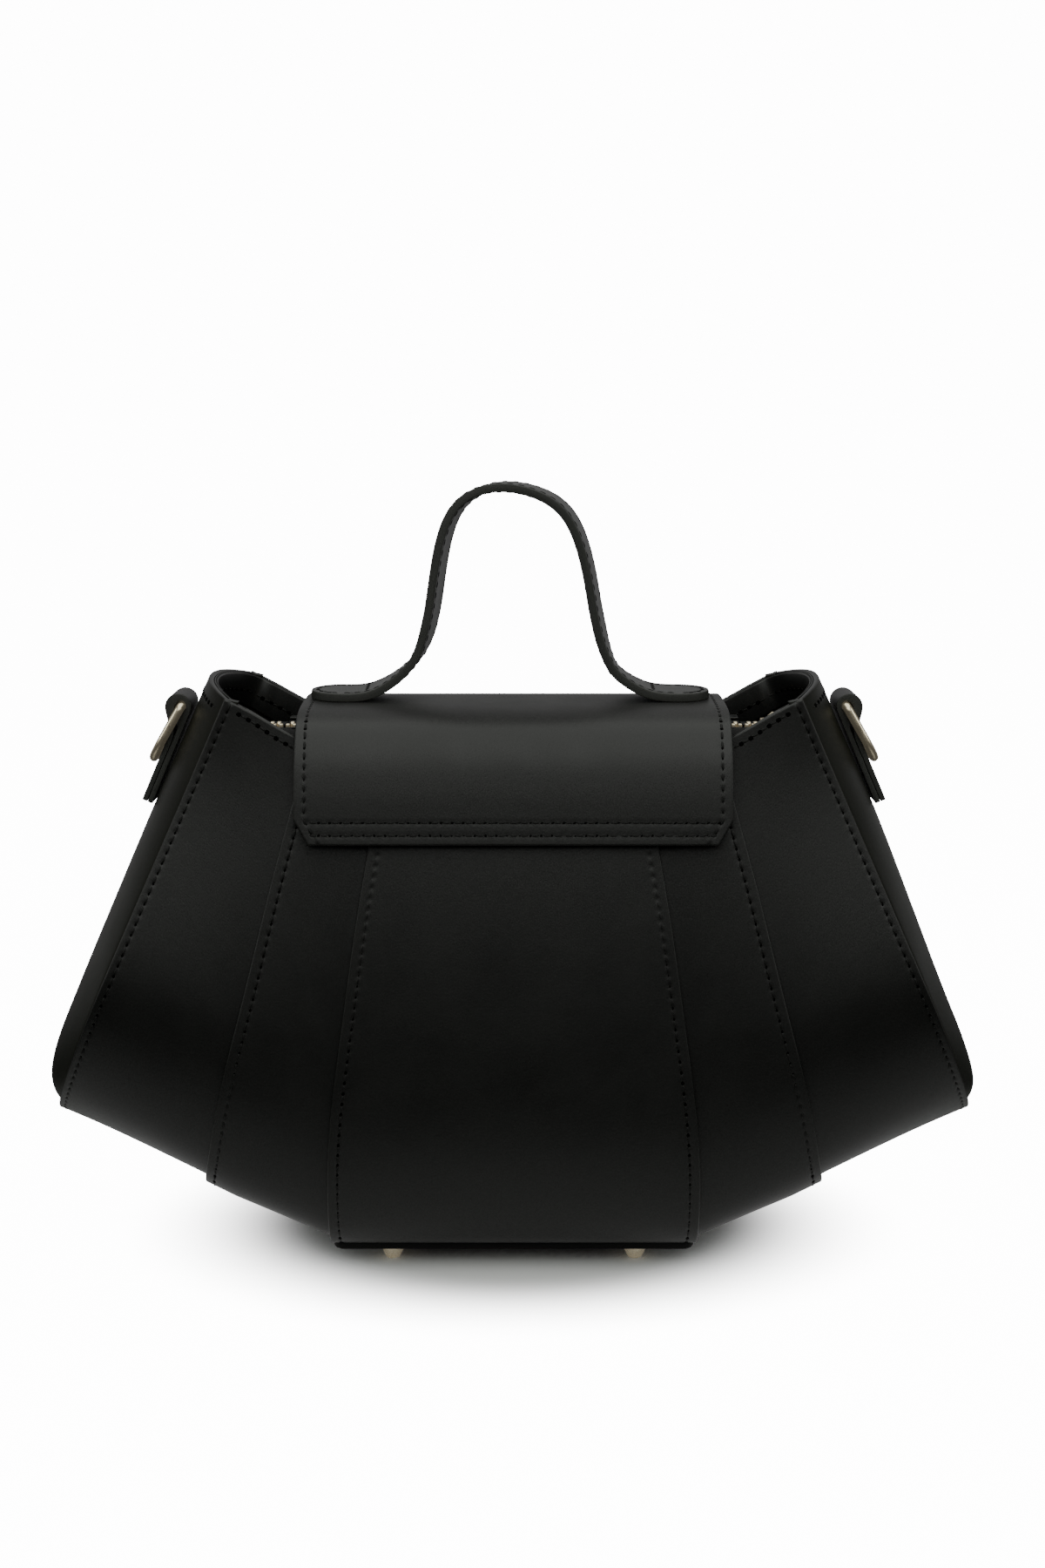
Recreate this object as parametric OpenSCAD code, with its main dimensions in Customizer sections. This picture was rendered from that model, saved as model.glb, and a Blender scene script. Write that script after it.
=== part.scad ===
// Fan-shaped leather satchel: five overlapping strips wrap from the back rim, under the base,
// to the front rim, two tongue gussets close the ends, and a flap with the handle covers a zip.
// The photographed back faces -Y, X runs along the width and the feet stand on Z = 0.

/* [Body] */
// Height of the rim under the flap
rim_h = 204; // [180:1:230]
// Height of the top corners of the end seams
ear_h = 217; // [206:1:240]
// Height of the lowest point of the end seams
end_low_h = 50.6; // [35:1:80]
// Half width of the body at the top corners
top_half_w = 106; // [90:1:125]
// Half width of the body at the lowest point of the end seams
low_half_w = 178.5; // [140:1:220]
// Half width of the flat base between the wings
base_half_w = 68; // [55:1:80]
// Half depth of the bag inside its widest level
belly_half_d = 59.3; // [50:1:75]
// Outward bulge of each end gusset
gusset_bulge = 12; // [4:1:18]

/* [Leather] */
// Thickness of the body strips and gussets
panel_t = 2.2; // [1.4:0.1:3]
// Clearance between pieces that lie on each other
gap = 0.3; // [0.2:0.05:0.5]
// Width of each sewn overlap
overlap_w = 9; // [6:0.5:12]
// Thickness of the lining cloth
lining_t = 0.8; // [0.5:0.1:1.2]
// Thickness of the leather band inside the rim
facing_t = 1.6; // [1:0.1:2]
// Thickness of the stiffening boards
stiffener_t = 2; // [1:0.1:2.2]

/* [Base] */
// Height of the feet
foot_h = 7.6; // [5:0.2:12]
// Radius of a foot at its top
foot_r = 4.5; // [3:0.1:6]
// Radius of a foot where it stands
foot_tip_r = 2.5; // [1.5:0.1:3]
// Distance of the feet from the middle along X
foot_x = 46.5; // [35:0.5:52]
// Distance of the feet from the middle along Y
foot_y = 38; // [30:0.5:39]
// Thickness of the sole
sole_t = 3.4; // [2.5:0.1:5]
// Half depth of the sole
sole_half_d = 50; // [44:0.5:56]

/* [Flap] */
// Width of the flap
flap_w = 160; // [130:1:164]
// Thickness of the flap's outer leather
flap_t = 1.9; // [1.2:0.1:2.5]
// Thickness of the flap's lining leather
flap_lining_t = 1.4; // [0.8:0.1:2]
// Drop of the fold line below the rim, just above the back's double stitching
hinge_drop = 23; // [18:0.5:26]
// Length of the sewn tail below the fold line
tail_l = 15.5; // [9:0.5:30]
// Drop of the lower edge at the front below the rim
front_drop = 70; // [54:1:78]
// Size of the cut corners
corner_cut = 10; // [4:1:20]
// Rise of the flap's crown above the rim
flap_rise = 8.7; // [8:0.1:14]
// Half depth of the flap's crown
crown_half_d = 55; // [53:0.5:62]
// Radius of the hidden magnets
magnet_r = 7; // [4:0.5:10]

/* [Handle] */
// Width of the handle strap
handle_w = 24; // [16:1:30]
// Thickness of each of its two layers
handle_t = 1.6; // [1:0.1:2.5]
// Half length of the handle from end to end
handle_half_l = 76; // [66:1:79]
// Rise of the handle's middle above its ends
handle_rise = 77.4; // [60:1:110]
// Twist of the raised strap about Z
handle_twist = 6.6; // [0:0.2:10]

/* [Rings] */
// Width of the ring tabs
tab_w = 20; // [14:1:26]
// Thickness of each layer of a tab
tab_t = 2.1; // [1.2:0.1:2.5]
// Length of a tab below its ring
tab_l = 37; // [30:1:45]
// Distance of the ring's bar below the gusset's top edge
tab_drop = 14.9; // [10:0.5:20]
// Radius of the ring's wire
wire_r = 1.5; // [1:0.1:2]
// Straight part of the ring's sides
ring_leg = 8; // [4:0.5:14]

/* [Zip] */
// Drop of the zip's chain below the rim
zip_drop = 3.5; // [3:0.5:8]
// Distance of the opening part's ends inside the sewn ends of the zip
zip_inset = 33; // [29:0.5:39]
// Distance from tooth to tooth
tooth_pitch = 2.6; // [2:0.1:4]
// Height of the chain
tooth_h = 3; // [2:0.1:3.4]
// Distance of the closed slider inside the sewn ends of the zip
slider_inset = 20; // [18:0.5:23]
// Length of the puller from its pin
puller_l = 14.5; // [12:0.5:15.5]

/* [Hidden] */
round_fn = 64;
// A cut that has to pass right through goes this much further
overrun = 1;

// Colours
black_leather = [0.06, 0.06, 0.058];
edge_leather = [0.05, 0.05, 0.05];
lining_cloth = [0.12, 0.11, 0.11];
zip_cloth = [0.07, 0.07, 0.075];
pale_gold = [0.86, 0.72, 0.42];
board_grey = [0.45, 0.42, 0.38];

// Heights of the base's layers, from the feet up
sole_low = foot_h + gap;
sole_top = sole_low + sole_t;
body_low = sole_top + gap + panel_t + gap + panel_t;

// Heights of the flap's fold and lower edges, and of the zip
hinge_h = rim_h - hinge_drop;
tail_low_h = hinge_h - tail_l;
front_low_h = rim_h - front_drop;
zip_h = rim_h - zip_drop;

// The seam between centre panel and wing, as half profiles from the rim to the middle of the base
seam_d_shares = [0.663, 0.791, 0.9, 0.975, 1, 0.966, 0.885, 0.759, 0.573, 0.287, 0];
seam_h_shares = [1, 0.814, 0.627, 0.441, 0.286, 0.158, 0.062, 0.006, 0, 0, 0];
seam_w_shares = [0.676, 0.765, 0.853, 0.926, 0.985, 1.018, 1.024, 1.015, 1, 1, 1];
seam_a = [for (i = [0 : len(seam_d_shares) - 1]) [
    base_half_w*seam_w_shares[i],
    belly_half_d*seam_d_shares[i],
    body_low + (rim_h - body_low)*seam_h_shares[i]
]];
// The end seam lies in a leaning plane, with the same number of points
end_d_shares = [0.675, 0.784, 0.894, 0.953, 0.938, 0.835, 0.675, 0.506, 0.32, 0.152, 0];
end_l_shares = [0, 0.15, 0.31, 0.47, 0.62, 0.75, 0.855, 0.925, 0.97, 0.993, 1];
seam_c = [for (i = [0 : len(end_d_shares) - 1]) [
    top_half_w + (low_half_w - top_half_w)*end_l_shares[i],
    belly_half_d*end_d_shares[i],
    ear_h + (end_low_h - ear_h)*end_l_shares[i]
]];
end_tilt = atan((low_half_w - top_half_w)/(ear_h - end_low_h));
end_out = [cos(end_tilt), 0, sin(end_tilt)];
wing_l = norm(seam_c[4] - seam_a[4]);
// Where the middle strip ends on the way from seam to end seam, and how wide an overlap is there
strip_share = 0.445;
overlap_share = overlap_w/wing_l;
// The rim dips below the straight line between the corners: a share of the seam's run
rim_dip_shares = [[0, 0], [0.36, 0.012], [0.62, 0.025], [0.8, 0.018], [1, 0]];
// Depth of the leather band inside the rim, as a share of the seam's run
facing_share = 0.045;
// The centre panels are turned under the base up to here
turn_share = 0.8;
rows = 18;

function unit(v) = v/norm(v);
function ease(a, b, x) = let (k = min(1, max(0, (x - a)/(b - a)))) k*k*(3 - 2*k);
function blend4(a, b, c, d, f) =
    0.5*(2*b + (c - a)*f + (2*a - 5*b + 4*c - d)*f*f + (3*b - a - 3*c + d)*f*f*f);
function flip_y(p) = [p.x, -p.y, p.z];
// Smooth seam through its points, level where it crosses the middle of the base
function seam(p, t) =
    let (n = len(p) - 1, x = min(1, max(0, t))*n, i = min(floor(x), n - 1))
    blend4(i > 0 ? p[i - 1] : 2*p[0] - p[1], p[i], p[i + 1],
        i + 2 <= n ? p[i + 2] : flip_y(p[n - 1]), x - i);
// Seam at u, from -1 at the back rim over 0 under the base to 1 at the front rim
function side_of(u, p) = u < 0 ? flip_y(p) : p;
function seam_at(p, u) = side_of(u, seam(p, 1 - abs(u)));
// Point on the right wing's inner surface: s is 0 at the centre seam and 1 at the end seam
function wing(s, u) =
    let (a = seam_at(seam_a, u), c = seam_at(seam_c, u))
    s < 0 ? a + [s*wing_l, 0, 0] : a + s*(c - a);
nudge = 0.012;
function along_u(s, u) = wing(s, min(1, u + nudge)) - wing(s, max(-1, u - nudge));
function wing_out(s, u) =
    let (ds = wing(max(s, 0) + nudge, u) - wing(min(s, 1) - nudge, u))
    unit(cross(along_u(s, u), ds));
function rim_dip(s) = lookup(s, rim_dip_shares);
function u_at(s, k) = k*(1 - rim_dip(s));
// Centre panel: level lines between the two centre seams, with x as a share of their distance
function middle(k, u) = let (a = seam_at(seam_a, u)) [k*a.x, a.y, a.z];
function middle_out(u) = let (d = along_u(0, u)) unit([0, d.z, -d.y]);

// Closed sheet between two grids of points, given row by row
module sheet(outer, inner) {
    nr = len(outer);
    nc = len(outer[0]);
    function id(k, i, j) = (k*nr + i)*nc + j;
    function quad(a, b, c, d) = [[a, b, c], [a, c, d]];
    outer_faces = [for (i = [0 : nr - 2], j = [0 : nc - 2])
        each quad(id(0, i, j), id(0, i, j + 1), id(0, i + 1, j + 1), id(0, i + 1, j))];
    inner_faces = [for (i = [0 : nr - 2], j = [0 : nc - 2])
        each quad(id(1, i, j), id(1, i + 1, j), id(1, i + 1, j + 1), id(1, i, j + 1))];
    row_ends = [for (j = [0 : nc - 2]) each concat(
        quad(id(0, 0, j), id(1, 0, j), id(1, 0, j + 1), id(0, 0, j + 1)),
        quad(id(0, nr - 1, j + 1), id(1, nr - 1, j + 1), id(1, nr - 1, j), id(0, nr - 1, j)))];
    column_ends = [for (i = [0 : nr - 2]) each concat(
        quad(id(0, i + 1, 0), id(1, i + 1, 0), id(1, i, 0), id(0, i, 0)),
        quad(id(0, i, nc - 1), id(1, i, nc - 1), id(1, i + 1, nc - 1), id(0, i + 1, nc - 1)))];
    polyhedron(
        points = [for (g = [outer, inner], r = g, p = r) p],
        faces = concat(outer_faces, inner_faces, row_ends, column_ends),
        convexity = 8);
}

// Steps of u over a whole wrap or over one half of it
wrap_steps = [for (i = [-rows : rows]) i/rows];
function half_steps(from, to) = [for (i = [0 : rows]) from + (to - from)*i/rows];
module wing_sheet(columns, steps, low, high) {
    sheet(
        [for (k = steps) [for (s = columns) let (u = u_at(s, k)) wing(s, u) + high(s, u)*wing_out(s, u)]],
        [for (k = steps) [for (s = columns) let (u = u_at(s, k)) wing(s, u) + low(s, u)*wing_out(s, u)]]);
}

// The middle strip rises over the outer strip's hidden edge
strip_lift = panel_t + gap;
clear_of_overlap_share = 1.15;
lift_end = strip_share - clear_of_overlap_share*overlap_share;
function middle_lift(s) = strip_lift*min(1, max(0, s/lift_end));
module right_middle_strip() {
    columns = [-overlap_share, 0, lift_end/3, 2*lift_end/3, lift_end, strip_share];
    color(black_leather)
    wing_sheet(columns, wrap_steps,
        function (s, u) middle_lift(s), function (s, u) middle_lift(s) + panel_t);
}
module left_middle_strip() {
    mirror([1, 0, 0]) right_middle_strip();
}

module right_outer_strip() {
    inner_edge = strip_share - overlap_share;
    columns = [for (k = [0 : 5]) inner_edge + (1 - inner_edge)*k/5];
    color(black_leather)
    wing_sheet(columns, wrap_steps, function (s, u) 0, function (s, u) panel_t);
}
module left_outer_strip() {
    mirror([1, 0, 0]) right_outer_strip();
}

// Gusset: sewn under the outer strip along a turned edge, and bulging out between
flange_of_overlap_share = 0.9;
flange_share = flange_of_overlap_share*overlap_share;
// The bulge keeps its full height down to where the tongue is this narrow
full_bulge_share = 0.76;
bulge_power = 2.2;
function corner(u, off_n, off_g) =
    wing(1, u) - off_n*wing_out(1, u) - off_g*end_out;
function bulge(t, w) =
    gusset_bulge*sin(90*min(1, seam(seam_c, t).y/(full_bulge_share*belly_half_d)))
    *(1 - pow(abs(w), bulge_power));
function end_face(t, w, off_n, off_g) =
    let (a = corner(t - 1, off_n, off_g), b = corner(1 - t, off_n, off_g))
    a + (b - a)*(w + 1)/2 + bulge(t, w)*end_out;
function flange(t, side, off_n) =
    let (s = 1 - flange_share, u = side*(1 - t)) wing(s, u) - off_n*wing_out(s, u);
// The tongue stops just short of its tip, where both sides meet
tongue_end_share = 0.997;
tongue_w_shares = [-1, -0.85, -0.6, -0.3, 0, 0.3, 0.6, 0.85, 1];
function tongue_row(t, off_n, off_g) = [
    flange(t, -1, off_n),
    for (w = tongue_w_shares) end_face(t, w, off_n, off_g),
    flange(t, 1, off_n)
];
module right_gusset() {
    color(black_leather)
    sheet(
        [for (k = [0 : 1/rows : 1]) tongue_row(k*tongue_end_share, gap, 0)],
        [for (k = [0 : 1/rows : 1]) tongue_row(k*tongue_end_share, gap + panel_t, panel_t)]);
}
module left_gusset() {
    mirror([1, 0, 0]) right_gusset();
}

// Centre panels lie over the middle strips' hidden edges, and are turned under the base
module centre_panel(side) {
    steps = half_steps(-1, turn_share - 1);
    k_shares = [-1, -0.5, 0, 0.5, 1];
    color(black_leather)
    difference() {
        mirror([0, side > 0 ? 1 : 0, 0])
        sheet(
            [for (u = steps) [for (k = k_shares) middle(k, u) + (strip_lift + panel_t)*middle_out(u)]],
            [for (u = steps) [for (k = k_shares) middle(k, u) + strip_lift*middle_out(u)]]);
        foot_stems(gap);
    }
}
module centre_panel_back() {
    centre_panel(-1);
}
module centre_panel_front() {
    centre_panel(1);
}

// Boards that keep the centre panels flat, between the middle strips' edges
board_share = 1 - (overlap_w + 3*gap)/(base_half_w*seam_w_shares[0]);
board_end_share = 0.66;
module stiffener(side) {
    steps = half_steps(-1, board_end_share - 1);
    color(board_grey)
    mirror([0, side > 0 ? 1 : 0, 0])
    sheet(
        [for (u = steps) [for (k = [-1, 0, 1]) middle(k*board_share, u) + stiffener_t*middle_out(u)]],
        [for (u = steps) [for (k = [-1, 0, 1]) middle(k*board_share, u)]]);
}
module back_stiffener() {
    stiffener(-1);
}
module front_stiffener() {
    difference() {
        stiffener(1);
        at_magnet() disc(magnet_r + gap, board_depth + stiffener_t + overrun);
    }
}

module plate(half_x, half_y, t, r) {
    linear_extrude(t)
    difference() {
        square([2*half_x, 2*half_y], center = true);
        for (x = [-1, 1], y = [-1, 1])
            translate([x*half_x, y*half_y])
            difference() {
                square(2*r, center = true);
                translate([-x*r, -y*r]) circle(r, $fn = round_fn);
            }
    }
}
plate_corner_r = 4;
board_low = body_low - panel_t;
board_top = board_low + stiffener_t;
board_side_clear = 3;
board_d_share = 0.7;
board_half_w = base_half_w - overlap_w - board_side_clear;
board_half_d = board_d_share*belly_half_d;
module base_board() {
    color(board_grey)
    difference() {
        translate([0, 0, board_low]) plate(board_half_w, board_half_d, stiffener_t, plate_corner_r);
        foot_stems(gap);
    }
}
module base_sole() {
    color(edge_leather)
    difference() {
        translate([0, 0, sole_low]) plate(base_half_w + gap, sole_half_d, sole_t, plate_corner_r);
        foot_stems(gap);
    }
}

stem_r = 1.5;
washer_r = 5;
washer_t = 0.8;
stem_top = board_top + washer_t + 2*gap;
module at_feet() {
    for (x = [-foot_x, foot_x], y = [-foot_y, foot_y])
        translate([x, y, 0]) children();
}
module foot_stems(extra) {
    at_feet() translate([0, 0, foot_h - extra]) cylinder(r = stem_r + extra, h = stem_top, $fn = round_fn);
}
// From the foot's top to where it stands: how much of the flare is left, and the height
foot_edge_shares = [[1, 1], [1, 0.82], [0.91, 0.66], [0.595, 0.36], [0.236, 0.12], [0, 0]];
module feet() {
    color(pale_gold)
    at_feet() {
        rotate_extrude($fn = round_fn)
        polygon([
            [0, foot_h],
            for (p = foot_edge_shares)
                [foot_tip_r + (foot_r - foot_tip_r)*p[0], foot_h*p[1]],
            [0, 0]
        ]);
        cylinder(r = stem_r, h = stem_top, $fn = round_fn);
    }
}
module foot_washers() {
    color(pale_gold)
    at_feet()
    translate([0, 0, board_top + gap])
    difference() {
        cylinder(r = washer_r, h = washer_t, $fn = round_fn);
        translate([0, 0, -overrun]) cylinder(r = stem_r + gap, h = washer_t + 2*overrun, $fn = round_fn);
    }
}

// Inside: the gussets' turned edges and the base board push the lining inwards
slope_start_share = 2.6;
slope_end_share = 1.3;
function flange_lift(s) =
    (gap + panel_t)*ease(1 - slope_start_share*flange_share, 1 - slope_end_share*flange_share, s);
board_u_shares = [0.36, 0.25];
function board_lift(u) =
    (board_top + washer_t + 4*gap - body_low)*ease(board_u_shares[0], board_u_shares[1], abs(u));
lining_end_share = 0.95;
lining_s_shares = [0, 0.5, 0.78, 0.86, lining_end_share];
lining_rim_share = facing_share/3;
function lining_off(s, u) = gap + flange_lift(s) + board_lift(u);
function lining_row(k, off) =
    let (
        right = [for (s = lining_s_shares) let (u = u_at(s, k*(1 - lining_rim_share)))
            wing(s, u) - (lining_off(s, u) + off)*wing_out(s, u)]
    )
    concat([for (i = [len(right) - 1 : -1 : 0]) [-right[i].x, right[i].y, right[i].z]], right);
module lining() {
    color(lining_cloth)
    sheet([for (k = wrap_steps) lining_row(k, 0)], [for (k = wrap_steps) lining_row(k, lining_t)]);
}
lining_off_g = panel_t + gap;
lining_tip_share = 0.975;
lining_w_shares = [-1, -0.7, -0.35, 0, 0.35, 0.7, 1];
module right_lining_end() {
    t_list = [for (k = [0 : 1/rows : 1]) lining_rim_share + (lining_tip_share - lining_rim_share)*k];
    off_n = panel_t + 2*gap;
    color(lining_cloth)
    sheet(
        [for (t = t_list) [for (w = lining_w_shares) end_face(t, w, off_n, lining_off_g)]],
        [for (t = t_list) [for (w = lining_w_shares) end_face(t, w, off_n, lining_off_g + lining_t)]]);
}
module left_lining_end() {
    mirror([1, 0, 0]) right_lining_end();
}

// Leather band inside the rim: one closed ring of four-cornered sections
facing_off = 2*gap + lining_t;
facing_end_share = 0.94;
function facing_section_wing(s, side) = [for (q = [[0, 0], [1, 0], [1, 1], [0, 1]])
    let (
        t = rim_dip(s) + q[0]*facing_share,
        u = side*(1 - t),
        off = facing_off + flange_lift(s) + q[1]*facing_t
    )
    wing(s, u) - off*wing_out(s, u)];
function facing_section_end(w) = [for (q = [[0, 0], [1, 0], [1, 1], [0, 1]])
    end_face(q[0]*facing_share, w, panel_t + 2*gap, lining_off_g + lining_t + gap + q[1]*facing_t)];
facing_s_shares = [0, 0.2, 0.36, 0.5, 0.62, 0.71, 0.8, 0.87, facing_end_share];
facing_w_shares = [-0.84, -0.6, -0.3, 0, 0.3, 0.6, 0.84];
facing_right = concat(
    [for (s = facing_s_shares) facing_section_wing(s, -1)],
    [for (w = facing_w_shares) facing_section_end(w)],
    [for (i = [len(facing_s_shares) - 1 : -1 : 0]) facing_section_wing(facing_s_shares[i], 1)]);
facing_left = [for (i = [len(facing_right) - 1 : -1 : 0])
    [for (p = facing_right[i]) [-p.x, p.y, p.z]]];
module rim_facing() {
    ring = concat(facing_right, facing_left);
    n = len(ring);
    function id(i, j) = (i % n)*4 + j % 4;
    color(black_leather)
    polyhedron(
        points = [for (r = ring, p = r) p],
        faces = [for (i = [0 : n - 1], j = [0 : 3]) each [
            [id(i, j), id(i + 1, j), id(i + 1, j + 1)],
            [id(i, j), id(i + 1, j + 1), id(i, j + 1)]
        ]],
        convexity = 8);
}

// Outer depth of the centre panels at a height, for what lies on them
function panel_y(z) =
    lookup(z, [for (i = [7 : -1 : 0]) [seam_a[i].z, seam_a[i].y]]) + strip_lift + panel_t + gap;
// The flap stands off the centre panels by this much, clear of the strips beside them
flap_stand = 1.8;
flap_gap = flap_stand + gap;
flap_full_t = flap_t + flap_lining_t;
function flap_y(z) = panel_y(z) + flap_gap + flap_full_t;
crown_y_shares = [0.97, 0.88, 0.68, 0.35];
crown_h_shares = [0.5, 0.84, 0.95, 0.99];
crown_drop = 14;
crown_low = rim_h - crown_drop;
crown_top = rim_h + flap_rise;
function crown(k) = [
    crown_half_d*crown_y_shares[k],
    crown_low + (crown_top - crown_low)*crown_h_shares[k]
];
front_mid_h = 0.5*(front_low_h + hinge_h);
flap_line = concat(
    [for (z = [tail_low_h, 0.5*(tail_low_h + hinge_h)]) [-flap_y(z), z]],
    [[-flap_y(hinge_h), hinge_h], [-crown_half_d, crown_low]],
    [for (k = [0 : 3]) [-crown(k)[0], crown(k)[1]]],
    [[0, crown_top]],
    [for (k = [3 : -1 : 0]) crown(k)],
    [[crown_half_d, crown_low], [flap_y(hinge_h) + gap, hinge_h]],
    [for (z = [front_mid_h, front_low_h]) [flap_y(z), z]]);
// Smooth line through the flap's points: i is the place in the list, and fractions lie between
function flap_at(i) =
    let (n = len(flap_line) - 1, j = min(floor(i), n - 1))
    blend4(flap_line[max(0, j - 1)], flap_line[j], flap_line[j + 1], flap_line[min(n, j + 2)], i - j);
flap_probe = 0.05;
function flap_in(i) =
    let (n = len(flap_line) - 1, d = unit(flap_at(min(n, i + flap_probe)) - flap_at(max(0, i - flap_probe))))
    [d[1], -d[0]];
flap_hinge_i = 2;
flap_end_i = len(flap_line) - 1;
flap_step = 0.25;
module flap_layer(from, to, depth, t) {
    list = [for (k = [0 : flap_step/(to - from) : 1 + nudge]) from + (to - from)*min(1, k)];
    rotate([90, 0, 90])
    linear_extrude(flap_w, center = true)
    polygon(concat(
        [for (i = list) flap_at(i) + depth*flap_in(i)],
        [for (j = [len(list) - 1 : -1 : 0]) flap_at(list[j]) + (depth + t)*flap_in(list[j])]));
}
cut_turn = 35;
module corner_cuts(low) {
    for (x = [-1, 1])
        translate([x*flap_w/2, 0, low])
        rotate([0, x*cut_turn, 0])
        cube([corner_cut, 4*crown_half_d, 3*corner_cut], center = true);
}
// The magnets stand this far above the flap's lower edge
magnet_up = 14;
magnet_h = front_low_h + magnet_up;
magnet_t = 0.8;
function lean_at_magnet(low_y, high_y) = atan((low_y - high_y)/(2*magnet_r));
module at_magnet() {
    lean = lean_at_magnet(flap_y(magnet_h - magnet_r), flap_y(magnet_h + magnet_r));
    translate([0, flap_y(magnet_h), magnet_h]) rotate([90 + lean, 0, 0]) children();
}
// The flap's own magnet follows the flap's outer line as it is drawn, from the lower edge up
flap_front_line = [for (i = [flap_end_i : -flap_step : flap_end_i - 2]) [flap_at(i)[1], flap_at(i)[0]]];
function flap_front_y(z) = lookup(z, flap_front_line);
module at_flap_magnet() {
    lean = lean_at_magnet(flap_front_y(magnet_h - magnet_r), flap_front_y(magnet_h + magnet_r));
    translate([0, flap_front_y(magnet_h), magnet_h]) rotate([90 + lean, 0, 0]) children();
}
module disc(r, t) {
    cylinder(r = r, h = t, $fn = round_fn);
}
// Depth of the front board's outer face below the flap's outer face
board_depth = flap_full_t + flap_gap + gap + panel_t + strip_lift - stiffener_t;
// The tail stops this share of a step short of the lid, where the leather folds
fold_share = 0.03;
module flap_tail() {
    color(black_leather)
    difference() {
        flap_layer(0, flap_hinge_i - fold_share, 0, flap_full_t);
        corner_cuts(tail_low_h);
    }
}
module flap_lid() {
    color(black_leather)
    difference() {
        flap_layer(flap_hinge_i, flap_end_i, 0, flap_t);
        corner_cuts_front();
    }
}
module corner_cuts_front() {
    intersection() {
        corner_cuts(front_low_h);
        translate([-flap_w, 0, 0]) cube([2*flap_w, 2*crown_half_d, rim_h]);
    }
}
// Glued layers are kept apart by this much
lining_seam = 0.1;
module flap_lining() {
    color(edge_leather)
    difference() {
        flap_layer(flap_hinge_i, flap_end_i, flap_t + lining_seam, flap_lining_t - lining_seam);
        corner_cuts_front();
        at_flap_magnet()
        translate([0, 0, -overrun]) disc(magnet_r + gap, overrun + flap_t + magnet_t + gap);
    }
}
module flap_magnet() {
    color(pale_gold)
    at_flap_magnet() translate([0, 0, flap_t + gap/2]) disc(magnet_r, magnet_t);
}
module body_magnet() {
    color(pale_gold)
    at_magnet() translate([0, 0, board_depth + gap]) disc(magnet_r, stiffener_t - 2*gap);
}

// Handle: two sewn layers in one arch, flat and round-ended where they lie on the flap
handle_x_shares = [-1, -0.84, -0.7, -0.565, -0.467, -0.408, -0.376, -0.342, -0.257, -0.066,
    0.158, 0.289, 0.355, 0.388, 0.421, 0.479, 0.559, 0.684, 0.816, 1];
handle_z_shares = [0, 0, 0.01, 0.087, 0.203, 0.364, 0.558, 0.745, 0.92, 1,
    0.933, 0.829, 0.661, 0.494, 0.326, 0.158, 0.08, 0.016, 0, 0];
handle_low = crown_top + gap + 2*handle_t;
handle_line = [for (i = [0 : len(handle_x_shares) - 1]) [
    handle_half_l*handle_x_shares[i],
    handle_low - handle_t + handle_rise*handle_z_shares[i]
]];
function handle_at(i) =
    let (n = len(handle_line) - 1, j = min(floor(i), n - 1))
    blend4(handle_line[max(0, j - 1)], handle_line[j], handle_line[j + 1], handle_line[min(n, j + 2)], i - j);
function handle_up(i) =
    let (n = len(handle_line) - 1, d = unit(handle_at(min(n, i + 0.1)) - handle_at(max(0, i - 0.1))))
    [-d[1], d[0]];
// The strap twists over this share of its rise
twist_share = 0.35;
// Half width of the strap, rounded off at both ends
function handle_half(i) =
    let (d = handle_half_l - abs(handle_at(i)[0]), r = handle_w/2)
    d < r && handle_at(i)[1] < handle_low + handle_t ? sqrt(max(r*r - (r - d)*(r - d), r*r/16)) : r;
handle_i_list = concat(
    [0, 0.1, 0.3, 0.6, 1], [for (i = [1.5 : 0.5 : 17.5]) i], [18, 18.4, 18.7, 18.9, 19]);
function handle_corner(i, across, up) =
    let (
        p = handle_at(i),
        n = handle_up(i),
        turn = handle_twist*ease(0, twist_share, (p[1] - handle_low)/handle_rise),
        w = across*handle_half(i)
    )
    [p[0] + up*n[0] + w*sin(turn), w*cos(turn), p[1] + up*n[1]];
module handle_layer(low, high) {
    color(black_leather)
    sheet(
        [for (i = handle_i_list) [for (a = [1, 0, -1]) handle_corner(i, a, high)]],
        [for (i = handle_i_list) [for (a = [1, 0, -1]) handle_corner(i, a, low)]]);
}
module handle_upper_layer() {
    handle_layer(lining_seam/2, handle_t);
}
module handle_under_layer() {
    handle_layer(-handle_t, -lining_seam/2);
}

// Ring tabs: a strap folded over the ring's bar, sewn to the middle of each gusset
module on_end(side) {
    mirror([side < 0 ? 1 : 0, 0, 0])
    translate([top_half_w, 0, ear_h])
    rotate([0, -end_tilt, 0])
    children();
}
tab_in = gusset_bulge + gap;
bar_out = tab_in + tab_t + gap + wire_r;
loop_r = wire_r + gap + tab_t;
tuck_l = 9;
loop_steps = 12;
tuck_dist = norm([tab_in + 2*tab_t - bar_out, tuck_l]);
tuck_turn = acos(loop_r/tuck_dist) - atan(tuck_l/(tab_in + 2*tab_t - bar_out));
module ring_tab(side) {
    color(black_leather)
    on_end(side)
    rotate([90, 0, 0])
    linear_extrude(tab_w, center = true)
    difference() {
        polygon([
            [tab_in, -tab_drop - tab_l], [tab_in + 2*tab_t, -tab_drop - tab_l],
            [tab_in + 2*tab_t, -tab_drop - tuck_l],
            for (a = [tuck_turn : (180 - tuck_turn)/loop_steps : 180])
                [bar_out + loop_r*cos(a), -tab_drop + loop_r*sin(a)]
        ]);
        translate([bar_out, -tab_drop]) circle(wire_r + gap, $fn = round_fn);
    }
}
module left_ring_tab() {
    ring_tab(-1);
}
module right_ring_tab() {
    ring_tab(1);
}
ring_bend_r = tab_w/2 + gap + wire_r;
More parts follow.
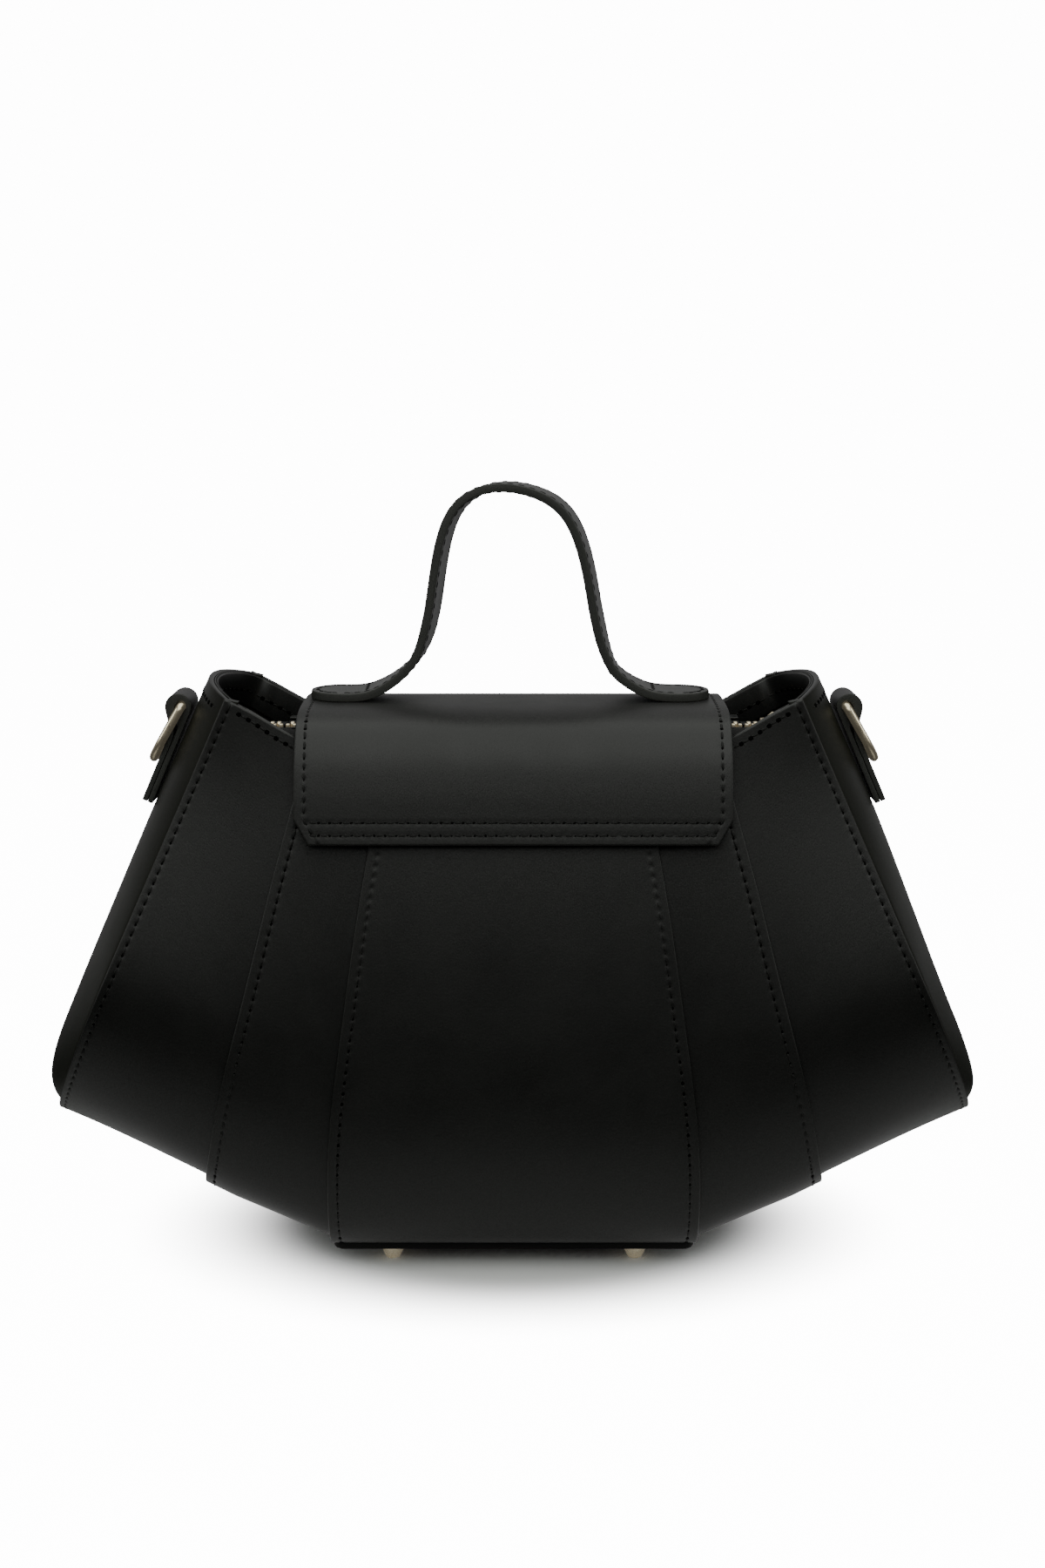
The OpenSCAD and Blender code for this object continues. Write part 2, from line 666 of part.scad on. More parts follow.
// The ring leans so far out that its bend clears the tab's face at the tab's edges
ring_clear_l = ring_leg + sqrt(ring_bend_r*ring_bend_r - tab_w*tab_w/4);
ring_lean = asin((tab_in + 2*tab_t + gap + wire_r - bar_out)/ring_clear_l);
module d_ring(side) {
    color(pale_gold)
    on_end(side)
    translate([bar_out, 0, -tab_drop])
    rotate([0, -ring_lean, 0]) {
        rotate([90, 0, 0]) cylinder(r = wire_r, h = 2*ring_bend_r, center = true, $fn = round_fn);
        for (y = [-ring_bend_r, ring_bend_r]) {
            translate([0, y, -ring_leg]) cylinder(r = wire_r, h = ring_leg, $fn = round_fn);
            translate([0, y, 0]) sphere(r = wire_r, $fn = round_fn);
        }
        translate([0, 0, -ring_leg])
        rotate([0, 90, 0])
        rotate([0, 0, -90])
        rotate_extrude(angle = 180, $fn = round_fn)
        translate([ring_bend_r, 0]) circle(wire_r, $fn = round_fn);
    }
}
module left_d_ring() {
    d_ring(-1);
}
module right_d_ring() {
    d_ring(1);
}

// Zip: each half has a leather panel that folds down at the rim, a tape and its row of teeth
zip_fold_drop = 11;
zip_hinge_h = rim_h - zip_fold_drop;
zip_panel_t = 1.2;
zip_tape_t = 0.8;
zip_hinge_y = lookup(zip_hinge_h, [[seam_a[1].z, seam_a[1].y], [seam_a[0].z, seam_a[0].y]])
    - facing_off - facing_t - 2*gap;
tape_out = 17;
tape_in = 4.4;
lip_in = 14;
tooth_in = 0.6;
tooth_root = 1.6;
tooth_w = 1.05;
rod_out = tape_in - gap;
module along_x(from, to) {
    translate([from, 0, 0]) rotate([90, 0, 90]) linear_extrude(to - from) children();
}
module zip_panel(side) {
    lip_h = zip_h + zip_tape_t/2 + gap/2;
    color(black_leather)
    mirror([0, side < 0 ? 1 : 0, 0])
    along_x(-zip_half_l, zip_half_l)
    polygon([
        [zip_hinge_y, zip_hinge_h - zip_panel_t/2], [zip_hinge_y, zip_hinge_h + zip_panel_t/2],
        [tape_out + gap, lip_h + zip_panel_t], [lip_in, lip_h + zip_panel_t],
        [lip_in, lip_h], [tape_out + gap, lip_h]
    ]);
}
module zip_panel_back() {
    zip_panel(-1);
}
module zip_panel_front() {
    zip_panel(1);
}
module tape_strip(side, from, to, out) {
    color(zip_cloth)
    mirror([0, side < 0 ? 1 : 0, 0])
    translate([from, tape_in, zip_h - zip_tape_t/2])
    cube([to - from, out - tape_in, zip_tape_t]);
}
module zip_tape_back() {
    tape_strip(-1, -zip_half_l, zip_half_l, tape_out);
}
module zip_tape_front() {
    tape_strip(1, -zip_half_l, zip_half_l, tape_out);
}
// One side's teeth between two places along X, on the rod that joins them
module teeth(side, from, to) {
    shift = side > 0 ? 0 : tooth_pitch/2;
    color(pale_gold)
    translate([0, 0, zip_h - tooth_h/2])
    linear_extrude(tooth_h)
    mirror([0, side < 0 ? 1 : 0, 0]) {
        translate([from, tooth_root]) square([to - from, rod_out - tooth_root]);
        for (k = [ceil((from - shift)/tooth_pitch) : floor((to - shift - tooth_w)/tooth_pitch)])
            translate([k*tooth_pitch + shift, tooth_in]) square([tooth_w, tooth_root - tooth_in + gap]);
    }
}
module zip_teeth_back() {
    teeth(-1, -zip_half_l, zip_half_l);
}
module zip_teeth_front() {
    teeth(1, -zip_half_l, zip_half_l);
}
// The ends of the zip stay fixed, sewn to the gussets' lining
function end_x(z, out) =
    let (down = (ear_h + out*sin(end_tilt) - z)/cos(end_tilt))
    top_half_w + out*cos(end_tilt) + down*sin(end_tilt);
end_tape_x = end_x(zip_h + tooth_h, gusset_bulge - lining_off_g - lining_t - gap);
zip_half_l = end_tape_x - zip_inset;
slider_x = end_tape_x - slider_inset;
end_from = zip_half_l + gap;
end_half_w = 11;
module zip_end(side) {
    color(zip_cloth)
    mirror([side < 0 ? 1 : 0, 0, 0]) {
        for (y = [-1, 1]) tape_strip(y, end_from, end_tape_x, end_half_w);
        translate([end_tape_x - 3*zip_tape_t, -tape_in - overrun, zip_h - zip_tape_t/2])
        cube([3*zip_tape_t, 2*(tape_in + overrun), zip_tape_t]);
    }
}
module left_zip_end() {
    zip_end(-1);
}
module right_zip_end() {
    zip_end(1);
}
slider_half_l = 5.5;
stop_from = slider_x + slider_half_l + gap;
stop_l = 2;
module zip_end_teeth() {
    for (y = [-1, 1]) {
        teeth(y, end_from, stop_from - gap);
        teeth(y, gap - stop_from, -end_from);
    }
}
module zip_stops() {
    color(pale_gold)
    for (x = [-1, 1], y = [-1, 1])
        mirror([x < 0 ? 1 : 0, 0, 0])
        mirror([0, y < 0 ? 1 : 0, 0])
        translate([stop_from, tooth_in, zip_h - tooth_h/2])
        cube([stop_l, rod_out - tooth_in, tooth_h]);
}

// Slider: two plates joined by a thin post that runs between the teeth, with a bridge on top
slider_plate_t = 1;
slider_half_w = rod_out + gap + slider_plate_t;
post_half_w = tooth_in - gap;
bridge_l = 5;
bridge_w = 1.4;
bridge_h = 2.6;
pin_r = 0.5;
pin_rise = 1.4;
pin_up = tooth_h/2 + gap + slider_plate_t + pin_rise;
module slider_plate() {
    translate([-slider_half_l, -slider_half_w, tooth_h/2 + gap])
    cube([2*slider_half_l, 2*slider_half_w, slider_plate_t]);
    for (y = [-slider_half_w, rod_out + gap])
        translate([-slider_half_l, y, zip_tape_t/2 + gap])
        cube([2*slider_half_l, slider_plate_t, tooth_h/2 - zip_tape_t/2 + slider_plate_t]);
}
module zip_slider() {
    color(pale_gold)
    translate([slider_x, 0, zip_h])
    difference() {
        union() {
            slider_plate();
            mirror([0, 0, 1]) slider_plate();
            translate([-slider_plate_t, -post_half_w, -tooth_h/2 - gap])
            cube([2*slider_plate_t, 2*post_half_w, tooth_h + 2*gap]);
            translate([-bridge_l/2, -bridge_w/2, tooth_h/2 + gap])
            cube([bridge_l, bridge_w, slider_plate_t + bridge_h]);
        }
        translate([0, 0, pin_up]) rotate([90, 0, 0])
        cylinder(r = pin_r + gap, h = bridge_w + 2*overrun, center = true, $fn = round_fn);
    }
}
arm_t = 0.9;
arm_l = 4.5;
puller_half_w = 3.4;
puller_t = 1.2;
module zip_puller() {
    arm_y = bridge_w/2 + gap;
    color(pale_gold)
    translate([slider_x, 0, zip_h + pin_up]) {
        rotate([90, 0, 0]) cylinder(r = pin_r, h = 2*(arm_y + arm_t), center = true, $fn = round_fn);
        for (y = [-arm_y - arm_t, arm_y])
            translate([-pin_r, y, -pin_r]) cube([arm_l + pin_r, arm_t, 2*pin_r]);
        translate([arm_l - pin_r, -puller_half_w, -puller_t/2])
        cube([puller_l - arm_l + pin_r - puller_half_w, 2*puller_half_w, puller_t]);
        translate([puller_l - puller_half_w, 0, -puller_t/2])
        cylinder(r = puller_half_w, h = puller_t, $fn = round_fn);
    }
}

centre_panel_back();
centre_panel_front();
left_middle_strip();
right_middle_strip();
left_outer_strip();
right_outer_strip();
left_gusset();
right_gusset();
back_stiffener();
front_stiffener();
base_board();
base_sole();
feet();
foot_washers();
rim_facing();
lining();
left_lining_end();
right_lining_end();
flap_tail();
flap_lid();
flap_lining();
flap_magnet();
body_magnet();
handle_upper_layer();
handle_under_layer();
left_ring_tab();
right_ring_tab();
left_d_ring();
right_d_ring();
zip_panel_back();
zip_panel_front();
zip_tape_back();
zip_tape_front();
zip_teeth_back();
zip_teeth_front();
left_zip_end();
right_zip_end();
zip_end_teeth();
zip_stops();
zip_slider();
zip_puller();
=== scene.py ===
import math
from itertools import product

import bpy
import numpy as np
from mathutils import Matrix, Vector


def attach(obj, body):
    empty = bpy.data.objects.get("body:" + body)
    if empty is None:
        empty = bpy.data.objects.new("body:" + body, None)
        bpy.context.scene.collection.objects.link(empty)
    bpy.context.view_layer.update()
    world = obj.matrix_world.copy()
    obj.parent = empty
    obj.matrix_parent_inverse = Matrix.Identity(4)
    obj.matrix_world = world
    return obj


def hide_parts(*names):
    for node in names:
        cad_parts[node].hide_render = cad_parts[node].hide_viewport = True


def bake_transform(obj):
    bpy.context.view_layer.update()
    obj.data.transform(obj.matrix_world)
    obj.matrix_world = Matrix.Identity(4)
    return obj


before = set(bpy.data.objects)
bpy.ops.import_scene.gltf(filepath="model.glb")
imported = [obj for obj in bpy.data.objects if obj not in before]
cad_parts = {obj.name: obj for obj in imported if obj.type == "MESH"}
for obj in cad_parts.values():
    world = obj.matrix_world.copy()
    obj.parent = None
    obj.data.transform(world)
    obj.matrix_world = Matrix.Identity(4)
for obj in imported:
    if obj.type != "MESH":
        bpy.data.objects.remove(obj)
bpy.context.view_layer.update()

# Sizes in millimetres, the same as in the CAD source. Meshes are written in metres.
MM = 0.001
RIM_H, EAR_H, END_LOW_H = 204.0, 217.0, 50.6
TOP_W, LOW_W, BASE_W, BELLY, BULGE = 106.0, 178.5, 68.0, 59.3, 12.0
T, GAP, OVERLAP, FACING_T = 2.2, 0.3, 9.0, 1.6
SOLE_LOW, SOLE_TOP, SOLE_HALF_D, SOLE_CORNER, BODY_LOW = 7.4, 9.9, 49.6, 4.0, 16.3
FLAP_W, FLAP_T, FLAP_LINING_T = 160.0, 1.9, 1.4
TAIL_LOW, HINGE_H, FRONT_LOW = 165.5, 181.0, 134.0
HANDLE_W, HANDLE_T, HANDLE_L, HANDLE_RISE, HANDLE_TWIST = 24.0, 1.6, 76.0, 77.4, 6.6
TAB_W, TAB_T, TAB_L, TAB_DROP, WIRE_R, RING_LEG = 20.0, 2.1, 39.5, 14.9, 1.7, 12.5
ZIP_H, ZIP_HALF_L, TOOTH_PITCH, TOOTH_H, SLIDER_X = 200.5, 88.045, 2.6, 3.0, 101.045

# Sewing: the holes' pitch, the rows' distance from an edge and from the end seam, and the holes' depth
PITCH, INSET, INSET_C, SINK = 4.05, 3.8, 2.8, 0.32
STEP = PITCH/5

# Shapes as shares: the seam beside the centre panel and the end seam, each from its top to the middle below
SEAM_D = [0.663, 0.791, 0.9, 0.975, 1, 0.972, 0.907, 0.83, 0.65, 0.32, 0]
SEAM_H = [1, 0.814, 0.627, 0.441, 0.286, 0.155, 0.043, -0.0075, -0.0075, -0.0075, -0.0075]
SEAM_W = [0.676, 0.765, 0.853, 0.926, 0.985, 1.018, 1.024, 1.015, 1, 1, 1]
END_D = [0.69, 0.72, 0.81, 0.93, 1.01, 0.93, 0.75, 0.545, 0.34, 0.16, 0]
END_L = [0, 0.15, 0.31, 0.47, 0.62, 0.75, 0.855, 0.925, 0.965, 0.984, 0.989]
STRIP_SHARE, FACING_SHARE = 0.445, 0.045
# How far the rim dips between the panel's seam and the ear
DIP_AT = [0, 0.18, 0.36, 0.45, 0.5, 0.6, 0.7, 0.8, 0.9, 1]
DIP_SHARES = [0.015, 0.018, 0.026, 0.029, 0.0285, 0.024, 0.018, 0.0115, 0.0055, 0]

RIGHT = np.array([1.0, 0, 0])
UP = np.array([0, 0, 1.0])
FLIP_X = np.array([-1.0, 1, 1])
SIDES = (("right", False), ("left", True))
HALVES = (("back", -1), ("front", 1))


# Curves and surfaces

def unit(v):
    v = np.asarray(v, float)
    return v/np.maximum(np.linalg.norm(v, axis=-1, keepdims=True), 1e-12)


def ease(a, b, x):
    k = np.clip((np.asarray(x, float) - a)/(b - a), 0, 1)
    return k*k*(3 - 2*k)


def distance(p):
    """How far along a line each of its points is."""
    return np.concatenate([[0], np.cumsum(np.linalg.norm(np.diff(p, axis=0), axis=1))])


def grid(a, b):
    return np.meshgrid(a, b, indexing="ij")


def xyz(*coordinates):
    return np.stack(np.broadcast_arrays(*coordinates), -1)


class Curve:
    """Natural cubic curve through points at k = 0, 1, 2 and so on."""

    def __init__(self, points):
        self.p = np.array(points, float)
        n = len(self.p)
        m, r = np.eye(n), np.zeros_like(self.p)
        for i in range(1, n - 1):
            m[i, i - 1:i + 2] = 1, 4, 1
        r[1:-1] = 6*(self.p[2:] - 2*self.p[1:-1] + self.p[:-2])
        self.m = np.linalg.solve(m, r)

    def __call__(self, k):
        k = np.asarray(k, float)
        i = np.clip(np.floor(k).astype(int), 0, len(self.p) - 2)
        f = (k - i)[..., None]
        return (self.p[i]*(1 - f) + self.p[i + 1]*f
                - f*(1 - f)*((2 - f)*self.m[i] + (1 + f)*self.m[i + 1])/6)


def wrap(points):
    """Curve over the back, the base and the front, from the points of the front half."""
    return Curve([(x, -y, z) for x, y, z in points] + [(x, y, z) for x, y, z in points[-2::-1]])


BODY_H = RIM_H - BODY_LOW
SEAM_A = wrap([(BASE_W*w, BELLY*d, BODY_LOW + BODY_H*h) for w, d, h in zip(SEAM_W, SEAM_D, SEAM_H)])
SEAM_C = wrap([(TOP_W + (LOW_W - TOP_W)*k, BELLY*d, EAR_H + (END_LOW_H - EAR_H)*k)
               for d, k in zip(END_D, END_L)])
END_TILT = math.atan((LOW_W - TOP_W)/(EAR_H - END_LOW_H))
END_OUT = np.array([math.cos(END_TILT), 0, math.sin(END_TILT)])
WING_L = 94.79
OVER = OVERLAP/WING_L
STRIP_LIFT = T + GAP
LIFT_END = STRIP_SHARE - 1.15*OVER
FLANGE = 0.9*OVER
# Small step for the direction of a surface, and how finely a line is measured
NEAR = 0.006
FINE = 3000


def seam_a(u):
    """Seam beside the centre panel: u goes from -1 at the back rim to 1 at the front rim."""
    return SEAM_A((np.asarray(u, float) + 1)*10)


def seam_c(u):
    return SEAM_C((np.asarray(u, float) + 1)*10)


def wing_len(u):
    return np.linalg.norm(seam_c(u) - seam_a(u), axis=-1)


def wing(s, u):
    """Point between the panel's seam, at s = 0, and the end seam, at s = 1."""
    a, c = seam_a(u), seam_c(u)
    s = np.asarray(s, float)[..., None]
    return np.where(s < 0, a + s*WING_L*RIGHT, a + s*(c - a))


def wing_out(s, u):
    along = wing(s, u + NEAR) - wing(s, u - NEAR)
    across = wing(np.maximum(s, 0) + NEAR, u) - wing(np.minimum(s, 1) - NEAR, u)
    return unit(np.cross(along, across))


def dip(s):
    return np.interp(s, DIP_AT, DIP_SHARES)


def slack(s, u):
    """A little unevenness that all layers share, so that the leather is not dead flat."""
    return 0.22*np.sin(2.3*u + 3.1*s + 0.6)*np.sin(5.2*u - 1.7*s) + 0.14*np.sin(9*u + 6*s + 1.3)


def middle(k, u):
    """Point on the centre: k goes from -1 at its left seam to 1 at its right seam."""
    return seam_a(u)*xyz(np.asarray(k, float), 1, 1)


def middle_out(k, u):
    d = seam_a(u + NEAR) - seam_a(u - NEAR)
    return unit(xyz(0, d[..., 2], -d[..., 1]) + 0*np.asarray(k, float)[..., None])


def even_rows(line, k0, k1):
    """Places from k0 to k1 that are about STEP apart along a line, and how far along each one is."""
    k = np.linspace(k0, k1, FINE)
    d = distance(line(k))
    at = np.linspace(0, d[-1], max(2, int(round(d[-1]/STEP)) + 1))
    return np.interp(at, d, k), at


# Where a thread pulls the leather in: between its holes, and how far to either side
THREAD_SINK, DENT_W = 0.04, 0.65


def dent(across, along):
    """How far the thread pulls the leather in, at a distance across and along a row of stitches.
    It is deepest at the holes, which lie between one thread and the next."""
    hole = (0.5 + 0.5*np.cos(2*np.pi*along/PITCH))**2
    return -(THREAD_SINK + (SINK - THREAD_SINK)*hole)*np.exp(-(across/DENT_W)**2)


# Meshes

def outward(verts, faces):
    """The faces of a closed form, all turned to look outwards."""
    v, volume = np.asarray(verts, float), 0.0
    for n in {len(q) for q in faces}:
        q = np.array([f for f in faces if len(f) == n])
        for k in range(1, n - 1):
            volume += np.sum(v[q[:, 0]]*np.cross(v[q[:, k]], v[q[:, k + 1]]))
    return faces if volume > 0 else [f[::-1] for f in faces]


def link(o):
    bpy.context.scene.collection.objects.link(o)
    return o


def make(name, verts, faces, mats, body="bag", mirror=False, index=None, uv=None, smooth=True):
    v = np.array(verts, float)*MM
    if mirror:
        v[:, 0] *= -1
    faces = outward(v, [list(f) for f in faces])
    me = bpy.data.meshes.new(name)
    me.from_pydata(v.tolist(), [], faces)
    for m in (mats if isinstance(mats, list) else [mats]):
        me.materials.append(m)
    if index is not None:
        me.polygons.foreach_set("material_index", np.array(index, np.int32))
    me.polygons.foreach_set("use_smooth", np.full(len(faces), smooth))
    if uv is not None:
        layer = me.uv_layers.new(name="UVMap")
        loops = np.zeros(len(me.loops), np.int32)
        me.loops.foreach_get("vertex_index", loops)
        layer.data.foreach_set("uv", (np.array(uv, float)*MM)[loops].astype(np.float32).ravel())
    me.update()
    o = link(bpy.data.objects.new(name, me))
    if body:
        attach(o, body)
    return o


ARCS = np.radians([0, 30, 60, 90])


def rounded_end(P, N, lo, hi, at, near, r):
    """The rows that round off one end of a sheet, from full thickness to the tip."""
    d = unit(P[at] - P[near])
    rows = []
    for a in ARCS:
        cut = r*(1 - math.cos(a))
        rows.append((P[at] - r*(1 - math.sin(a))*d, N[at], lo[at] + cut, hi[at] - cut))
    return [np.stack(x) for x in zip(*rows)]


def sheet(name, P, N, lo, hi, mats, r=0.55, body="bag", mirror=False):
    """Sheet of leather between offsets lo and hi from a grid of points P with normals N.
    Its edges are rounded, and they take the second material."""
    P = np.array(P, float)
    N = unit(np.broadcast_to(N, P.shape))
    lo, hi = np.broadcast_to(lo, P.shape[:2]), np.broadcast_to(hi, P.shape[:2])
    first, last = rounded_end(P, N, lo, hi, 0, 1, r), rounded_end(P, N, lo, hi, -1, -2, r)
    P, N, lo, hi = [np.concatenate([a[::-1], x[1:-1], b]) for a, x, b in zip(first, (P, N, lo, hi), last)]
    nr, nc = P.shape[:2]
    loops, edge = [], []

    def arc(j, near, upper, order):
        e = unit(P[:, j] - P[:, near])
        for a in order:
            cut = r*(1 - math.cos(a))
            h = hi[:, j] - cut if upper else lo[:, j] + cut
            loops.append(P[:, j] - r*(1 - math.sin(a))*e + h[:, None]*N[:, j])
            edge.append(a > 0)

    def flat(columns, h):
        for j in columns:
            loops.append(P[:, j] + h[:, j, None]*N[:, j])
            edge.append(False)

    arc(0, 1, True, ARCS[::-1])
    flat(range(1, nc - 1), hi)
    arc(-1, -2, True, ARCS)
    half = len(loops)
    arc(-1, -2, False, ARCS[::-1])
    flat(range(nc - 2, 0, -1), lo)
    arc(0, 1, False, ARCS)
    L = np.stack(loops, 1)
    n = L.shape[1]
    i, j = grid(np.arange(nr - 1), np.arange(n))
    k = (j + 1) % n
    quads = np.stack([i*n + j, i*n + k, (i + 1)*n + k, (i + 1)*n + j], -1).reshape(-1, 4)
    edge = np.array(edge)
    rim = (edge[j] & edge[k]) | (j == half - 1) | (j == n - 1) | (i < 3) | (i > nr - 5)
    q = np.arange(half - 1)
    cap0 = np.stack([q, n - 1 - q, n - 2 - q, q + 1], -1)
    cap1 = (nr - 1)*n + np.stack([q, q + 1, n - 2 - q, n - 1 - q], -1)
    faces = np.concatenate([quads, cap0, cap1])
    index = np.concatenate([rim.reshape(-1), np.ones(2*len(q), bool)]).astype(int)
    along = distance(P[:, nc//2])[:, None]
    across = np.concatenate([np.zeros((nr, 1)), np.cumsum(np.linalg.norm(np.diff(L, axis=1), axis=2), 1)], 1)
    uv = xyz(across, along).reshape(-1, 2)
    return make(name, L.reshape(-1, 3), faces, mats, body, mirror, index, uv)


# Half the length over which a thread takes its direction
LOOK = 0.4


def frames_on(points, normals, pitch=PITCH, trim=2.2, at=None):
    """Evenly spaced places along a line, each with its directions along, across and out."""
    p = np.asarray(points, float)
    nrm = unit(np.broadcast_to(normals, p.shape))
    d = distance(p)
    if at is None:
        n = max(1, int((d[-1] - 2*trim)/pitch))
        at = (d[-1] - n*pitch)/2 + pitch*np.arange(n + 1)

    def pick(x, where):
        return np.stack([np.interp(where, d, x[:, c]) for c in range(3)], -1)

    t, o = unit(pick(p, at + LOOK) - pick(p, at - LOOK)), pick(nrm, at)
    o = unit(o - t*np.sum(o*t, -1, keepdims=True))
    return np.stack([pick(p, at), t, np.cross(o, t), o], 1)


def ring_faces(n, ring, closed=False):
    """Faces between n rings of points, with caps unless the last ring joins the first one."""
    f = [[i*ring + j, i*ring + (j + 1) % ring, (i + 1) % n*ring + (j + 1) % ring, (i + 1) % n*ring + j]
         for i in range(n if closed else n - 1) for j in range(ring)]
    return f if closed else f + [list(range(ring))[::-1], list(range((n - 1)*ring, n*ring))]


# Round places from one end of a run of thread to the other, and how thick it is there
PILL_X = np.array([-1, -0.93, -0.72, -0.35, 0, 0.35, 0.72, 0.93, 1])
PILL_R = np.array([0.05, 0.5, 0.86, 1, 1, 1, 0.86, 0.5, 0.05])


def pill(length, width, height, ends, ring=8):
    """A long round form whose ends go down."""
    a = np.linspace(0, 2*np.pi, ring, endpoint=False)
    v = np.array([[x*length/2, r*math.cos(b)*width/2, r*math.sin(b)*height/2 - ends*abs(x)**4]
                  for x, r in zip(PILL_X, PILL_R) for b in a])
    return v, ring_faces(len(PILL_X), ring)


# The length, width and height of the painted-shade disc at a hole, how far the threads go down at their ends,
# and how much they turn
HOLE, THREAD_ENDS, THREAD_TURN = (1.9, 1.6, 0.3), 0.42, 0.05


def threads(name, rows, mirror=False, body="bag", length=3.1, width=0.88, height=0.55, pitch=PITCH):
    """Sewing: one run of thread for each place, and after it a near-black disc of painted shade at the hole
    where the thread goes into the leather.
    Each row of places comes with how deep its holes lie."""
    verts, faces, index, n = [], [], [], 0
    rng = np.random.default_rng(5)
    v, f = pill(length, width, height, THREAD_ENDS)
    w, g = pill(*HOLE, 0)
    for fr, sink in rows:
        turn = rng.normal(0, THREAD_TURN, len(fr))
        for k, (c, t, b, o) in enumerate(fr):
            tt = t*math.cos(turn[k]) + b*math.sin(turn[k])
            bb = b*math.cos(turn[k]) - t*math.sin(turn[k])
            verts.append(c + v[:, :1]*tt + v[:, 1:2]*bb + (v[:, 2:] - 0.1)*o)
            verts.append(c + (w[:, :1] + pitch/2)*t + w[:, 1:2]*b + (w[:, 2:] - sink + 0.03)*o)
            faces += [[i + n for i in q] for q in f] + [[i + n + len(v) for i in q] for q in g]
            index += [0]*len(f) + [1]*len(g)
            n += len(v) + len(w)
    return make(name, np.concatenate(verts), faces, [THREAD, HOLE_SHADE], body, mirror, index)


def holes(length):
    """Places of the stitches along a seam of this length."""
    return PITCH*(0.5 + np.arange(int(length/PITCH)))


SIGNS = (-1, 1)


def box(centre, size, bevel):
    """Corners and faces of a block with its edges taken off. A face joins the points that lie furthest out in
    one of 26 directions."""
    v = np.array([np.array(s)*(np.array(size)/2 - bevel*(np.arange(3) != c))
                  for s in product(SIGNS, repeat=3) for c in range(3)])
    faces = []
    for way in product((-1, 0, 1), repeat=3):
        if any(way):
            far = v @ way
            q = np.flatnonzero(far > far.max() - bevel/100)
            from_middle = v[q] - v[q].mean(0)
            first = unit(from_middle[0])
            turn = np.arctan2(from_middle @ np.cross(unit(way), first), from_middle @ first)
            faces.append(q[np.argsort(turn)].tolist())
    return v + np.array(centre), faces


def join(parts):
    verts, faces, n = [], [], 0
    for v, f in parts:
        verts.append(np.asarray(v, float))
        faces += [[i + n for i in q] for q in outward(v, f)]
        n += len(v)
    return np.concatenate(verts), faces


def tube(path, radius, ring, up, closed=False):
    """Round wire along a path of points."""
    p = np.asarray(path, float)
    nxt, prv = np.roll(p, -1, 0), np.roll(p, 1, 0)
    if not closed:
        nxt[-1], prv[0] = p[-1], p[0]
    t = unit(nxt - prv)
    side = unit(np.cross(t, np.array(up, float)))
    a = np.linspace(0, 2*np.pi, ring, endpoint=False)[None, :, None]
    v = p[:, None] + radius*(np.cos(a)*side[:, None] + np.sin(a)*np.cross(side, t)[:, None])
    return v.reshape(-1, 3), ring_faces(len(p), ring, closed)


def lathe(profile, x, y, steps):
    """Round solid about an upright axis, from (radius, height) points."""
    a = np.linspace(0, 2*np.pi, steps, endpoint=False)
    v = [[x + r*math.cos(b), y + r*math.sin(b), z] for r, z in profile for b in a]
    return np.array(v), ring_faces(len(profile), steps)


# Materials

def new(t, kind):
    return t.nodes.new("ShaderNode" + kind)


def put(t, n, inputs):
    """Sets inputs of a node to values, or links them to other nodes' outputs."""
    for key, value in inputs.items():
        if isinstance(value, bpy.types.NodeSocket):
            t.links.new(value, n.inputs[key])
        else:
            n.inputs[key].default_value = value
    return n


def start(name):
    m = bpy.data.materials.new(name)
    m.use_nodes = True
    t = m.node_tree
    t.nodes.clear()
    out, b = new(t, "OutputMaterial"), new(t, "BsdfPrincipled")
    put(t, out, {"Surface": b.outputs[0]})
    return m, t, b


def coords(t, kind="UV"):
    return new(t, "TexCoord").outputs[kind]


def noise(t, vec, scale, detail=3.0, rough=0.55):
    n = new(t, "TexNoise")
    return put(t, n, {"Vector": vec, "Scale": scale, "Detail": detail, "Roughness": rough}).outputs["Fac"]


def cells(t, vec, scale):
    n = new(t, "TexVoronoi")
    return put(t, n, {"Vector": vec, "Scale": scale}).outputs["Distance"]


def wave(t, vec, scale, direction="X", distortion=0.0):
    n = new(t, "TexWave")
    n.bands_direction = direction
    return put(t, n, {"Vector": vec, "Scale": scale, "Distortion": distortion}).outputs["Fac"]


def spread(t, fac, low, high, a=0.3, b=0.7, smooth=False):
    n = new(t, "MapRange")
    n.interpolation_type = "SMOOTHSTEP" if smooth else "LINEAR"
    put(t, n, {"Value": fac, "From Min": a, "From Max": b, "To Min": low, "To Max": high})
    return n.outputs["Result"]


def blend_colours(t, fac, one, two, a=0.3, b=0.7):
    n = new(t, "ValToRGB")
    n.color_ramp.elements[0].position, n.color_ramp.elements[1].position = a, b
    n.color_ramp.elements[0].color, n.color_ramp.elements[1].color = (*one, 1), (*two, 1)
    return put(t, n, {"Fac": fac}).outputs["Color"]


def total(t, a, b, mode="ADD"):
    n = new(t, "Math")
    n.operation = mode
    return put(t, n, {0: a, 1: b}).outputs[0]


def times(t, a, b):
    return total(t, a, b, "MULTIPLY")


def bump(t, b, height, strength, depth):
    n = new(t, "Bump")
    put(t, n, {"Strength": strength, "Distance": depth, "Height": height})
    put(t, b, {"Normal": n.outputs[0]})


# Texture scales per metre: soft patches, grain, pores and creases of leather
PATCH, GRAIN, PORE, CREASE = 45, 1900, 1500, 160


